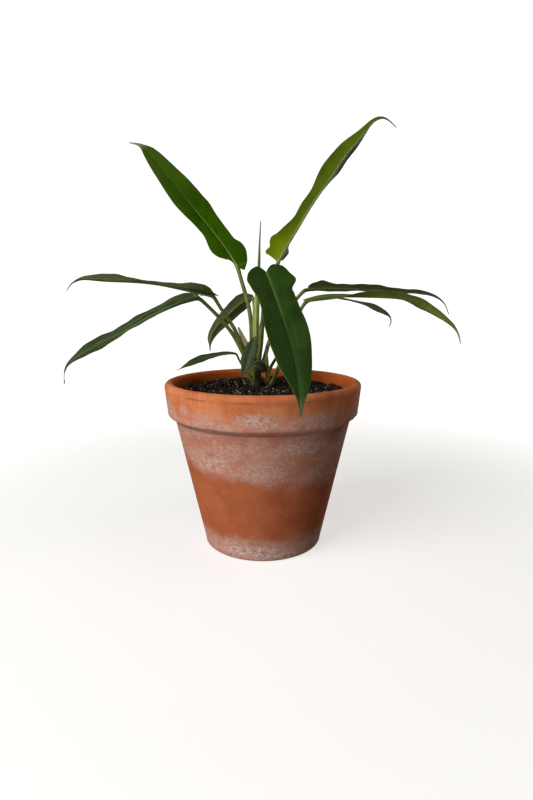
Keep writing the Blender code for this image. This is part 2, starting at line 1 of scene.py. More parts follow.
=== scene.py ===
import bmesh
import bpy
import numpy as np
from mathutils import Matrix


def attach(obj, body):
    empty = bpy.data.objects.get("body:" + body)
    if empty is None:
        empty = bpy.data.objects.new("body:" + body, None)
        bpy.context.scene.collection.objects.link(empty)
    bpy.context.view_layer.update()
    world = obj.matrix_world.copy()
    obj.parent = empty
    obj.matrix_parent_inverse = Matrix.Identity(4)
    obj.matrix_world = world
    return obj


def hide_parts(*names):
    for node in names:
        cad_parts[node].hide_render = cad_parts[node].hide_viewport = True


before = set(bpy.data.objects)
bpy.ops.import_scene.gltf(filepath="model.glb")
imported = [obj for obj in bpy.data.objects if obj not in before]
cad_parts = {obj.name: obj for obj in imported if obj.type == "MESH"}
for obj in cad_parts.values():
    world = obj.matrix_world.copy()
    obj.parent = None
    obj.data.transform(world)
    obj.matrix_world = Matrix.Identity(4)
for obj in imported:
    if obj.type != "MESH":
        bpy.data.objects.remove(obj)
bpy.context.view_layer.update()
print("frame loaded:", len(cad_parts), "nodes")

mm = 0.001  # sizes and places below are in millimetres


# Arrays and curves

def unit(vectors):
    return vectors / np.linalg.norm(vectors, axis=-1, keepdims=True)


def bell(away):
    # e to the minus away squared
    return np.exp(-away ** 2)


def turnSteps(count):
    # angles once round
    return np.linspace(0.0, 2 * np.pi, count, endpoint=False)


def turnRound(radius, height, turn):
    # rings about the Z axis: radius * cos, radius * sin, height
    return np.stack(np.broadcast_arrays(radius * np.cos(turn), radius * np.sin(turn), height), axis=-1)


def distanceAlong(path):
    # the length of the path up to each of its points
    return np.append(0.0, np.cumsum(np.linalg.norm(np.diff(path, axis=0), axis=1)))


def naturalCurve(points, shares, fineSteps=600):
    # natural cubic spline through the points, its knots spaced by the root of each chord, read off
    # at the given shares of its length
    points = np.array(points, float)
    knots = np.append(0.0, np.cumsum(np.linalg.norm(np.diff(points, axis=0), axis=1) ** 0.5))
    step = np.diff(knots)
    slope = np.diff(points, axis=0) / step[:, None]
    system = np.diag(np.concatenate([[1.0], 2 * (step[:-1] + step[1:]), [1.0]]))
    system += np.diag(np.append(step[:-1], 0.0), -1) + np.diag(np.append(0.0, step[1:]), 1)
    bend = np.zeros_like(points)
    bend[1:-1] = 6 * np.diff(slope, axis=0)
    bend = np.linalg.solve(system, bend)
    at = np.linspace(0.0, knots[-1], fineSteps)
    k = np.clip(np.searchsorted(knots, at, side="right") - 1, 0, len(step) - 1)
    before, after, gap = (at - knots[k])[:, None], (knots[k + 1] - at)[:, None], step[k][:, None]
    fine = (bend[k] * after ** 3 + bend[k + 1] * before ** 3) / (6 * gap)
    fine += (points[k] / gap - bend[k] * gap / 6) * after
    fine += (points[k + 1] / gap - bend[k + 1] * gap / 6) * before
    reach = distanceAlong(fine)
    wanted = np.asarray(shares) * reach[-1]
    return np.stack([np.interp(wanted, reach, fine[:, axis]) for axis in range(3)], axis=1), reach[-1]


def easedValues(stations, values, at):
    # a curve through (station, value) pairs that never swings past them: cubic steps whose slopes
    # are the weighted harmonic means of the rises on both sides
    x, y = np.array(stations, float), np.array(values, float)
    step = np.diff(x)
    rise = np.diff(y) / step
    sameWay = rise[:-1] * rise[1:] > 0
    first, second = 2 * step[1:] + step[:-1], step[1:] + 2 * step[:-1]
    weighted = first / np.where(sameWay, rise[:-1], 1) + second / np.where(sameWay, rise[1:], 1)
    slope = np.concatenate([rise[:1], np.where(sameWay, (first + second) / weighted, 0.0), rise[-1:]])
    k = np.clip(np.searchsorted(x, at, side="right") - 1, 0, len(step) - 1)
    u = (at - x[k]) / step[k]
    curve = (2 * u ** 3 - 3 * u ** 2 + 1) * y[k] + (3 * u ** 2 - 2 * u ** 3) * y[k + 1]
    return curve + step[k] * ((u ** 3 - 2 * u ** 2 + u) * slope[k] + (u ** 3 - u ** 2) * slope[k + 1])


def latticeNoise(x, y, size, seed):
    # smooth noise between 0 and 1: random values on a square lattice, eased between its corners
    table = np.random.default_rng(seed).random((64, 64))
    u, v = np.floor(x / size).astype(int), np.floor(y / size).astype(int)
    p, q = x / size - u, y / size - v
    p, q = p * p * (3 - 2 * p), q * q * (3 - 2 * q)
    low = table[u % 64, v % 64] * (1 - p) + table[(u + 1) % 64, v % 64] * p
    high = table[u % 64, (v + 1) % 64] * (1 - p) + table[(u + 1) % 64, (v + 1) % 64] * p
    return low * (1 - q) + high * q


# Meshes from whole arrays

noQuads, noFans = np.zeros((0, 4), int), np.zeros((0, 3), int)


def buildPiece(name, points, quads, fans, materials=(), faceSlots=None, layers=None):
    # points in millimetres, faces as index arrays of four and of three; a layer has a vector a point
    corners = np.concatenate([quads.ravel(), fans.ravel()])
    starts = np.concatenate([np.arange(len(quads)) * 4, quads.size + np.arange(len(fans)) * 3])
    mesh = bpy.data.meshes.new(name)
    mesh.vertices.add(len(points))
    mesh.vertices.foreach_set("co", (points * mm).astype(np.float32).ravel())
    mesh.loops.add(len(corners))
    mesh.loops.foreach_set("vertex_index", corners.astype(np.int32))
    mesh.polygons.add(len(starts))
    mesh.polygons.foreach_set("loop_start", starts.astype(np.int32))
    for material in materials:
        mesh.materials.append(material)
    if faceSlots is not None:
        mesh.polygons.foreach_set("material_index", faceSlots.astype(np.int32))
    for label, vectors in (layers or {}).items():
        layer = mesh.attributes.new(label, "FLOAT_VECTOR", "POINT")
        layer.data.foreach_set("vector", vectors.astype(np.float32).ravel())
    mesh.update(calc_edges=True)
    mesh.validate()
    mesh.shade_smooth()
    piece = bpy.data.objects.new(name, mesh)
    bpy.context.scene.collection.objects.link(piece)
    return piece


def wrapGrid(grid):
    # a (rows, columns) grid whose columns close round: quads between rings, fans to a pole at each end
    rows, columns = grid.shape[:2]
    index = np.arange(rows * columns).reshape(rows, columns)
    after = np.roll(index, -1, axis=1)
    quads = np.stack([index[:-1], after[:-1], after[1:], index[1:]], axis=-1).reshape(-1, 4)
    firstPole = np.full(columns, rows * columns)
    fans = np.concatenate([np.stack([after[0], index[0], firstPole], axis=-1),
                           np.stack([index[-1], after[-1], firstPole + 1], axis=-1)])
    points = np.concatenate([grid.reshape(-1, 3), grid[0].mean(0)[None], grid[-1].mean(0)[None]])
    return points, quads, fans


def closeSheet(top, under):
    # two (rows, columns) grids back to back, joined by a strip along all four sides
    rows, columns = top.shape[:2]
    a = np.arange(rows * columns).reshape(rows, columns)
    b = a + rows * columns
    upper = np.stack([a[:-1, :-1], a[:-1, 1:], a[1:, 1:], a[1:, :-1]], axis=-1).reshape(-1, 4)
    lower = np.stack([b[:-1, :-1], b[1:, :-1], b[1:, 1:], b[:-1, 1:]], axis=-1).reshape(-1, 4)
    left = np.stack([a[:-1, 0], a[1:, 0], b[1:, 0], b[:-1, 0]], axis=-1)
    right = np.stack([b[:-1, -1], b[1:, -1], a[1:, -1], a[:-1, -1]], axis=-1)
    foot = np.stack([a[0, 1:], a[0, :-1], b[0, :-1], b[0, 1:]], axis=-1)
    tip = np.stack([a[-1, :-1], a[-1, 1:], b[-1, 1:], b[-1, :-1]], axis=-1)
    quads = np.concatenate([upper, lower, left, right, foot, tip])
    faceSlots = (np.arange(len(quads)) >= len(upper)).astype(int)  # 0 on the upper side, 1 elsewhere
    return np.concatenate([top.reshape(-1, 3), under.reshape(-1, 3)]), quads, faceSlots


def carryRound(path, reach, across):
    # a round section carried along a path: middle + reach * (cos * side + sin * back), with the reach
    # by row and turn, side the vector "across" squared up to the path, and back square to both
    tangent = unit(np.gradient(path, axis=0))
    side = unit(across - np.sum(across * tangent, axis=1, keepdims=True) * tangent)
    back = np.cross(tangent, side)
    turn = turnSteps(reach.shape[1])[:, None]
    return path[:, None] + reach[..., None] * (np.cos(turn) * side[:, None] + np.sin(turn) * back[:, None])


def dress(piece, slot, *nodes):
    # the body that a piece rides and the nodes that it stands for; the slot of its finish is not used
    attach(piece, "root")
    if nodes:
        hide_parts(*nodes)


def addTube(name, slot, node, shape, reach, material):
    # rings closed to a piece; its layer holds the share of a turn, the distance along and the share
    # of the rows for each corner
    rows, columns = shape.shape[:2]
    around, along = np.meshgrid(np.arange(columns) / columns, reach)
    layer = np.column_stack([around.ravel(), along.ravel(), np.repeat(np.linspace(0, 1, rows), columns)])
    layer = np.concatenate([layer, [(0, 0, 0), (0, reach[-1], 1)]])  # and for both poles
    points, quads, fans = wrapGrid(shape)
    dress(buildPiece(name, points, quads, fans, [material], layers=dict(stalkPlace=layer)), slot, node)


# Shader values

class Wire:
    # an output of a node; each sign between wires, or a wire and a number, adds one Math node
    def __init__(self, node, output=0):
        self.tree, self.socket = node.id_data, node.outputs[output]

    def __add__(self, other):
        return maths("ADD", self, other)

    def __sub__(self, other):
        return maths("SUBTRACT", self, other)

    def __rsub__(self, other):
        return maths("SUBTRACT", other, self)

    def __mul__(self, other):
        return maths("MULTIPLY", self, other)

    def __truediv__(self, other):
        return maths("DIVIDE", self, other)

    def __pow__(self, other):
        return maths("POWER", self, other)

    def __abs__(self):
        return maths("ABSOLUTE", self)

    __radd__, __rmul__ = __add__, __mul__

    def ease(self, low, high, start=0.0, end=1.0):
        # start below low, end above high, eased between
        given = {"Value": self, "From Min": low, "From Max": high, "To Min": start, "To Max": end}
        return Wire(addNode(self.tree, "ShaderNodeMapRange", given, interpolation_type="SMOOTHSTEP"))


def plug(value, socket):
    # a wire makes a link, anything else sets the value
    if isinstance(value, Wire):
        value.tree.links.new(value.socket, socket)
    else:
        socket.default_value = value


def addNode(tree, kind, inputs=None, **settings):
    # inputs by name or number
    node = tree.nodes.new(kind)
    for label, value in settings.items():
        setattr(node, label, value)
    for label, value in (inputs or {}).items():
        plug(value, node.inputs[label])
    return node


def treeOf(values):
    # the node tree of the first wire among them
    return next(value.tree for value in values if isinstance(value, Wire))


def maths(operation, *values):
    return Wire(addNode(treeOf(values), "ShaderNodeMath", dict(enumerate(values)), operation=operation))


def vectorMaths(operation, *values, output=0):
    given = dict(enumerate(values))
    return Wire(addNode(treeOf(values), "ShaderNodeVectorMath", given, operation=operation), output)


def paint(colour):
    # a screen colour, 0 to 255, as the linear colour that a shader takes; a wire stays as it is
    if isinstance(colour, Wire):
        return colour
    share = np.array(colour) / 255
    linear = np.where(share <= 0.04045, share / 12.92, ((share + 0.055) / 1.055) ** 2.4)
    return (*linear.tolist(), 1.0)


def mix(share, first, second, blend="MIX"):
    # first + share * (second - first), the share held between 0 and 1
    given = {"Factor": share, 6: paint(first), 7: paint(second)}
    return Wire(addNode(share.tree, "ShaderNodeMix", given, data_type="RGBA", blend_type=blend), 2)


def noise(place, scale, detail=3.0, roughness=0.55):
    given = {"Vector": place, "Scale": scale, "Detail": detail, "Roughness": roughness}
    return Wire(addNode(place.tree, "ShaderNodeTexNoise", given), "Fac")


def cells(place, scale):
    # distance to the nearest of many scattered points
    return Wire(addNode(place.tree, "ShaderNodeTexVoronoi", {"Vector": place, "Scale": scale}), "Distance")


def join(x, y, z=0.0):
    # three values as one vector
    return Wire(addNode(treeOf((x, y, z)), "ShaderNodeCombineXYZ", {"X": x, "Y": y, "Z": z}))


def split(vector):
    # a vector as its three values
    node = addNode(vector.tree, "ShaderNodeSeparateXYZ", {0: vector})
    return [Wire(node, axis) for axis in range(3)]


def objectPlace(tree):
    # Object coordinates in millimetres
    return vectorMaths("MULTIPLY", Wire(addNode(tree, "ShaderNodeTexCoord"), "Object"), (1 / mm,) * 3)


def stretched(place, tall):
    # a place whose height counts more (over 1) or less (under 1), for patterns that lie along or run down
    return vectorMaths("MULTIPLY", place, (1.0, 1.0, tall))


def layerValues(tree, label):
    # the three values of a mesh's own layer
    return split(Wire(addNode(tree, "ShaderNodeAttribute", attribute_name=label), "Vector"))


# Node groups: each formula takes wires and gives a value for every output

def capital(label):
    # a socket's name for an input's name
    return label[0].upper() + label[1:]


def makeGroup(formula, outputs, **inputs):
    # a node group named after its formula, with its inputs' usual values
    tree = bpy.data.node_groups.new(formula.__name__.removesuffix("Formula"), "ShaderNodeTree")
    for label, value in inputs.items():
        kind = "NodeSocketVector" if isinstance(value, tuple) else "NodeSocketFloat"
        socket = tree.interface.new_socket(capital(label), in_out="INPUT", socket_type=kind)
        socket.default_value = value
    for label in outputs:
        tree.interface.new_socket(label, in_out="OUTPUT", socket_type="NodeSocketFloat")
    given, made = addNode(tree, "NodeGroupInput"), addNode(tree, "NodeGroupOutput")
    results = formula(**{label: Wire(given, capital(label)) for label in inputs})
    for label, result in zip(outputs, results):
        plug(result, made.inputs[label])
    return tree


def useGroup(group, **inputs):
    # places a group and gives its outputs as wires
    given = {capital(label): value for label, value in inputs.items()}
    node = addNode(treeOf(inputs.values()), "ShaderNodeGroup", given, node_tree=group)
    return [Wire(node, number) for number in range(len(node.outputs))]


def mottleFormula(vector, scale, low, high):
    # soft patches of noise between two levels
    return [noise(vector, scale).ease(low, high)]


def grainFormula(vector, scale, pits):
    # surface grain: coarse lumps and fine grit, less small pits
    lumps = noise(vector, scale, detail=4.0, roughness=0.6)
    grit = noise(vector, scale * 3.7, detail=2.0, roughness=0.7)
    return [lumps + grit * 0.4 - cells(vector, scale).ease(0.05, 0.22, 1.0, 0.0) * pits]


def softSpotFormula(vector, centre, size, ragged):
    # one round spot with a ragged edge: 1 at its centre, 0 outside its size
    away = vectorMaths("DIVIDE", vectorMaths("SUBTRACT", vector, centre), size)
    edge = noise(vector, 0.22, detail=4.0) - 0.5
    reach = vectorMaths("LENGTH", away, output="Value") + edge * ragged * 2.0
    return [reach.ease(0.45, 1.0, 1.0, 0.0)]


def leafVeinsFormula(across, along, spacing, slant, width):
    # side veins, and the swelling between them: thin lines every spacing along the blade, leaning
    # tipwards by slant towards the margin
    drift = noise(join(across, along), 0.09, detail=1.0) * 3.0
    phase = (along - abs(across) * slant + drift) / spacing
    away = abs(maths("FRACT", phase) - 0.5) * 2.0
    return [away.ease(1.0 - width, 1.0), away.ease(0.0, 1.0, 1.0, 0.0)]


def leafBandsFormula(share, across, along, distance, ribWidth):
    # masks that follow the blade: midrib, margin, base, tip and the two first veins beside the joint
    out = abs(across)
    rib = out / (ribWidth * (1.0 - along) ** 0.9 + 0.12)
    firstVein = abs(distance - (out * 0.12 + 3.0)).ease(0.25, 0.9, 1.0, 0.0)
    return [rib.ease(0.55, 1.15, 1.0, 0.0), abs(share).ease(0.94, 0.99), along.ease(0.0, 0.3, 1.0, 0.0),
            along.ease(0.88, 0.97), firstVein * out.ease(7.0, 17.0, 1.0, 0.0)]


def leafStreaksFormula(across, distance, fineness):
    # faint lines that run the length of the blade: noise, drawn out along it
    place = join(across * fineness, distance * 0.022)
    return [noise(place, 1.0, detail=4.0, roughness=0.65).ease(0.44, 0.66)]


def streaksFormula(around, along, count, stretch):
    # long streaks that run up a stalk: noise on a stretched cylinder
    turn = around * (2 * np.pi)
    place = join(maths("COSINE", turn) * count, maths("SINE", turn) * count, along / stretch)
    return [noise(place, 1.0).ease(0.35, 0.65)]


origin = (0.0, 0.0, 0.0)
mottle = makeGroup(mottleFormula, ["Mask"], vector=origin, scale=0.05, low=0.4, high=0.6)
grain = makeGroup(grainFormula, ["Height"], vector=origin, scale=1.0, pits=0.5)
softSpot = makeGroup(softSpotFormula, ["Mask"],
                     vector=origin, centre=origin, size=(10.0, 10.0, 10.0), ragged=0.5)
leafVeins = makeGroup(leafVeinsFormula, ["Vein", "Quilt"],
                      across=0.0, along=0.0, spacing=5.0, slant=0.5, width=0.2)
leafBands = makeGroup(leafBandsFormula, ["Rib", "Margin", "Base", "Tip", "FirstVeins"],
                      share=0.0, across=0.0, along=0.0, distance=0.0, ribWidth=1.6)
leafStreaks = makeGroup(leafStreaksFormula, ["Mask"], across=0.0, distance=0.0, fineness=0.8)
streaks = makeGroup(streaksFormula, ["Mask"], around=0.0, along=0.0, count=3.0, stretch=30.0)


def patches(place, scale, low, high):
    # 0 and 1 in soft patches
    return useGroup(mottle, vector=place, scale=scale, low=low, high=high)[0]


def grained(place, scale, pits):
    # a height for the bump
    return useGroup(grain, vector=place, scale=scale, pits=pits)[0]


def startMaterial(name, roughness, specular):
    material = bpy.data.materials.new(name)
    material.use_nodes = True
    shader = material.node_tree.nodes["Principled BSDF"]
    shader.inputs["Roughness"].default_value = roughness
    shader.inputs["Specular IOR Level"].default_value = specular
    return material, material.node_tree, shader


def coverSkin(shader, colour, height, strength, depth):
    # a material's colour and bump, the bump's depth in millimetres
    given = {"Height": height, "Strength": strength, "Distance": depth * mm}
    plug(colour, shader.inputs["Base Color"])
    plug(Wire(addNode(height.tree, "ShaderNodeBump", given)), shader.inputs["Normal"])


# Camera, light and floor

camera = dict(place=(0.0, -520.4, 245.6), down=10.567, turn=0.406, lens=23.0, longSide=36.0)

softboxes = [
    dict(name="key", place=(-965, -869, 930), size=(1100, 1300), watts=21.5, tint=(1.0, 0.98, 0.95)),
    dict(name="bounce", place=(-650, -1130, -350), size=(1200, 800), watts=5.0, tint=(1.0, 0.99, 0.97)),
    dict(name="side", place=(900, -250, 1700), size=(900, 900), watts=5.6, tint=(1.0, 0.86, 0.72)),
    dict(name="back", place=(700, 2200, 450), size=(4200, 1700), watts=10.0, tint=(1.0, 1.0, 1.0)),
    dict(name="rim", place=(1650, 2050, -60), size=(700, 900), watts=11.0, tint=(1.0, 1.0, 1.0)),
]
lightAim = (0, 0, 180)

studio = dict(floorRadius=900, bend=1000, height=2400, rings=24, bendSteps=32, sides=96, clearRadius=250,
              paper=(196, 196, 195), floorGlow=0.60, wallGlow=0.95, air=(0.046, 0.041, 0.034))


def placeHolder(name, data, place, rotation):
    holder = bpy.data.objects.new(name, data)
    holder.location = np.array(place) * mm
    holder.rotation_euler = rotation
    bpy.context.scene.collection.objects.link(holder)
    return holder


def addCamera():
    data = bpy.data.cameras.new("camera")
    data.lens = camera["lens"]
    data.sensor_width = camera["longSide"]
    data.sensor_fit = "AUTO"
    data.clip_start, data.clip_end = 0.02, 20.0  # in metres
    turned = np.radians((90 - camera["down"], 0.0, -camera["turn"]))
    bpy.context.scene.camera = placeHolder("camera", data, camera["place"], turned)


def addSoftbox(box):
    data = bpy.data.lights.new(box["name"], "AREA")
    data.shape = "RECTANGLE"
    data.size, data.size_y = np.array(box["size"]) * mm
    data.energy = box["watts"]
    data.color = box["tint"]
    toAim = unit(lightAim - np.array(box["place"], float))
    turned = (np.arccos(-toAim[2]), 0.0, np.arctan2(toAim[0], -toAim[1]) + np.pi)
    placeHolder(box["name"], data, box["place"], turned).visible_camera = False


def makeStudio():
    # profile of floor, quarter bend and wall, turned round the Z axis
    angle = np.linspace(-np.pi / 2, 0, studio["bendSteps"])
    flat = np.linspace(0.5, studio["floorRadius"], studio["rings"])[:-1]
    bendRadius = studio["floorRadius"] + studio["bend"] * np.cos(angle)
    radius = np.concatenate([flat, bendRadius, bendRadius[-1:]])
    height = np.concatenate([np.zeros_like(flat), studio["bend"] * (1 + np.sin(angle)), [studio["height"]]])
    points, quads, _ = wrapGrid(turnRound(radius[:, None], height[:, None], turnSteps(studio["sides"])))
    material, tree, shader = startMaterial("paper", 0.9, 0.0)
    shader.inputs["Base Color"].default_value = paint(studio["paper"])
    shader.inputs["Emission Color"].default_value = (1.0, 1.0, 1.0, 1.0)
    away = vectorMaths("LENGTH", objectPlace(tree), output="Value")
    glow = away.ease(studio["clearRadius"], studio["floorRadius"], studio["floorGlow"], studio["wallGlow"])
    plug(glow, shader.inputs["Emission Strength"])
    floor = buildPiece("floor", points[:-2], quads[:, ::-1], noFans, [material])
    floor.visible_diffuse = False  # the pale paper is only looked at: it throws no light back
    floor.visible_glossy = False
    floor.visible_shadow = False  # and it lets the light from below through


def fillAir():
    world = bpy.data.worlds.new("air")
    world.use_nodes = True
    background = world.node_tree.nodes["Background"].inputs
    background["Color"].default_value = (*studio["air"], 1.0)
    background["Strength"].default_value = 1.0
    bpy.context.scene.world = world


addCamera()
for box in softboxes:
    addSoftbox(box)
makeStudio()
fillAir()
bpy.context.scene.view_settings.view_transform = "Standard"
print("camera, light and floor placed")


# Clay pot

pot = dict(
    height=170.0, rimRadius=100.0, baseRadius=61.3,
    bodyTopRadius=90.0, bodyTopHeight=132.5,
    bandFootRadius=97.3, bandFootHeight=139.5, bandCorner=3.0, footCorner=2.0,
    lipRadius=4.5, wall=8.5, floor=11.0, mouthRadius=90.5,
    bevelDrop=4.0, bevelRise=14.0, mouthLean=1.5, floorCorner=6.0,
    drainHoles=3, drainRadius=6.0, drainCircle=30.0, drainSides=40, drainOvercut=5.0,
    sides=312, rowSpacing=1.7,
    outOfRound=0.35, turningLines=0.07, roughness=0.12, roughRadius=95.0,
    grooveDepth=0.3, grooveWidth=0.55, grooveHeight=160.8, grooveFrom=96.0,
    chips=26, chipSizes=(0.9, 2.6), chipDepth=0.32, chipSeed=11, chipRadius=97.0, chipFrom=92.0,
    orange=(226, 142, 94), ember=(208, 118, 72), bare=(190, 106, 68), deep=(156, 76, 42),
    wash=(196, 142, 124), salt=(228, 210, 203), inside=(206, 104, 48), paintedInsideShade=(104, 50, 22), dirtAndShade=(66, 38, 24),
)

# zones of salt: between low and high over the soft and fade widths, the low edge leaning by lean a
# millimetre to the right, its share of cover broken up between least and most
saltZones = [
    dict(low=138, soft=3, lean=0.0, high=153, fade=5, least=0.12, most=0.3),
    dict(low=84, soft=8, lean=0.12, high=142, fade=8, least=0.22, most=0.5),
    dict(low=-20, soft=2, lean=0.0, high=21, fade=11, least=0.5, most=0.85),
]
# patches of salt, at degrees from the front towards the right and a height
saltSpots = [
    dict(at=(-47, 152), size=(9, 9, 5), share=0.35),
    dict(at=(-68, 149), size=(16, 16, 12), share=0.45),
    dict(at=(-3, 147), size=(24, 24, 9), share=0.75),
    dict(at=(28, 146), size=(30, 30, 9), share=0.4),
    dict(at=(-34, 101), size=(24, 24, 10), share=0.45),
    dict(at=(-4, 98), size=(24, 24, 14), share=0.3),
    dict(at=(25, 119), size=(34, 34, 9), share=0.5),
    dict(at=(55, 110), size=(20, 20, 9), share=0.35),
    dict(at=(-8, 9), size=(42, 42, 9), share=1.1),
    dict(at=(150, 104), size=(40, 40, 16), share=0.4),
    dict(at=(215, 147), size=(28, 28, 8), share=0.5),
    dict(at=(110, 146), size=(26, 26, 8), share=0.4),
]


def bevelHeights():
    # the wall inside leans out between these two
    return pot["bodyTopHeight"] - pot["bevelDrop"], pot["bodyTopHeight"] + pot["bevelRise"]


def innerRadius(height):
    # the pot's inner wall: parallel to the body, then a bevel out to the mouth
    p = pot
    mouth = p["mouthRadius"]
    outside = p["baseRadius"] + (p["bodyTopRadius"] - p["baseRadius"]) * p["floor"] / p["bodyTopHeight"]
    heights = (p["floor"], *bevelHeights(), p["height"] - p["lipRadius"])
    radii = (outside - p["wall"], p["bodyTopRadius"] - p["wall"], mouth - p["mouthLean"], mouth)
    return np.interp(height, heights, radii)


def arc(x, z, radius, start, end, steps):
    # middle + radius * (cos, sin), from one angle to another
    angle = np.radians(np.linspace(start, end, steps))
    return np.stack([x + radius * np.cos(angle), z + radius * np.sin(angle)], axis=1)


def densify(corners, spacing):
    # extra points along the straight runs of a profile
    parts = [np.linspace(a, b, max(2, int(np.ceil(np.hypot(*(b - a)) / spacing)) + 1))[:-1]
             for a, b in zip(corners[:-1], corners[1:])]
    return np.concatenate([*parts, corners[-1:]])


def potProfile():
    # underside, foot, body, band, lip, inner wall and floor, from the axis out and back to it
    p = pot
    lip = p["height"] - p["lipRadius"]
    foot = arc(p["baseRadius"] - p["footCorner"], p["footCorner"], p["footCorner"], -90, -12, 6)
    neck = [(p["bodyTopRadius"], p["bodyTopHeight"])]
    corner = arc(p["bandFootRadius"] - p["bandCorner"], p["bandFootHeight"], p["bandCorner"], -50, 0, 8)
    outerLip = arc(p["rimRadius"] - p["lipRadius"], lip, p["lipRadius"], 0, 90, 12)
    innerLip = arc(p["mouthRadius"] + p["lipRadius"], lip, p["lipRadius"], 90, 180, 12)[1:]
    wall = [(innerRadius(z), z) for z in bevelHeights()[::-1]]
    bottom = p["floor"] + p["floorCorner"]
    inside = arc(innerRadius(p["floor"]) - p["floorCorner"], bottom, p["floorCorner"], 0, -90, 8)
    axis = 0.6  # a small disc is left for the poles
    runs = [[(axis, 0.0)], foot, neck, corner, outerLip, innerLip, wall, inside, [(axis, p["floor"])]]
    return densify(np.concatenate(runs), p["rowSpacing"])


def makePot():
    # radius = profile, less an oval and a three-cornered sway, turning lines that follow the height,
    # a fine roughness, a faint groove in the band, and round chips at the lip and the band's foot
    profile = potProfile()
    radius, height = profile[:, :1], profile[:, 1:]
    turn = turnSteps(pot["sides"])[None]
    free = np.clip(radius / 40.0, 0, 1) * np.clip(height / 6.0, 0, 1)
    sway = 0.5 - 0.35 * np.cos(2 * turn + 0.6) - 0.15 * np.cos(3 * turn + 2.0)
    lines = np.sin(height * 2.3 + 0.4 * np.sin(turn + 1.0))
    lines = lines + 0.8 * np.sin(height * 1.07 + 1.9 + 0.5 * np.sin(turn))
    around = turn * pot["roughRadius"]
    rough = latticeNoise(around, height + radius, 5.0, 3)
    rough = rough + 0.6 * latticeNoise(around, height - radius, 2.4, 4)
    reach = radius - free * pot["outOfRound"] * sway
    reach -= free * (pot["turningLines"] * (1.6 - lines) / 2 + pot["roughness"] * rough)
    fading = 0.5 + 0.5 * np.sin(turn * 1.5 + 0.8)
    groove = bell((height - pot["grooveHeight"]) / pot["grooveWidth"]) * fading
    reach -= pot["grooveDepth"] * groove * (radius > pot["grooveFrom"])

    rng = np.random.default_rng(pot["chipSeed"])
    level = np.where(rng.random(pot["chips"]) < 0.55, pot["bandFootHeight"] - 1.0, pot["height"] - 1.2)
    level = level + rng.normal(0, 0.8, pot["chips"])
    where = rng.uniform(0, 2 * np.pi, pot["chips"])
    size = rng.uniform(*pot["chipSizes"], pot["chips"])
    away = np.abs((turn[0][:, None] - where + np.pi) % (2 * np.pi) - np.pi) * pot["chipRadius"]
    near = np.exp(-((height[:, :, None] - level) ** 2 + away[None] ** 2) / size ** 2)
    reach -= (radius > pot["chipFrom"]) * (near * size * pot["chipDepth"]).sum(-1)

    shape = np.stack(np.broadcast_arrays(reach * np.sin(turn), -reach * np.cos(turn), height), axis=-1)
    piece = buildPiece("clay_pot", *wrapGrid(shape), [clayMaterial()])
    cutDrainHoles(piece)
    dress(piece, "clay", "pot")


def cutDrainHoles(piece):
    # round holes through the floor, each cut with a Boolean that is then applied
    ends = np.array([[-pot["drainOvercut"]], [pot["floor"] + pot["drainOvercut"]]])
    for number in range(pot["drainHoles"]):
        angle = 2 * np.pi * (number + 0.5) / pot["drainHoles"]
        middle = pot["drainCircle"] * np.array([np.cos(angle), np.sin(angle), 0.0])
        rings = middle + turnRound(pot["drainRadius"], ends, turnSteps(pot["drainSides"])[None])
        cutter = buildPiece(f"drain_{number}", *wrapGrid(rings))
        cut = piece.modifiers.new("drain", "BOOLEAN")
        cut.operation = "DIFFERENCE"
        cut.solver = "MANIFOLD"
        cut.object = cutter
        finished = bpy.data.meshes.new_from_object(piece.evaluated_get(bpy.context.evaluated_depsgraph_get()))
        piece.modifiers.clear()
        piece.data = finished
        bpy.data.objects.remove(cutter, do_unlink=True)


def onPot(degrees, height):
    # a place on the outer wall, by its turn from the front towards the right
    heights = (0, pot["bodyTopHeight"], pot["bandFootHeight"], pot["height"])
    radii = (pot["baseRadius"], pot["bodyTopRadius"], pot["bandFootRadius"], pot["rimRadius"])
    radius, angle = np.interp(height, heights, radii), np.radians(degrees)
    return (radius * np.sin(angle), -radius * np.cos(angle), height)


def saltCoverage(place, x, level, wipes):
    # the sum of the zones, each rise * fall * broken share, and of the round patches
    coverage = 0.0
    for zone in saltZones:
        rise = (level + x * zone["lean"]).ease(zone["low"] - zone["soft"], zone["low"] + zone["soft"])
        fall = level.ease(zone["high"] - zone["fade"], zone["high"] + zone["fade"], 1.0, 0.0)
        coverage = rise * fall * wipes.ease(0.0, 1.0, zone["least"], zone["most"]) + coverage
    for spot in saltSpots:
        mask = useGroup(softSpot, vector=place, centre=onPot(*spot["at"]), size=spot["size"], ragged=0.5)[0]
        coverage = mask * spot["share"] + coverage
    return coverage


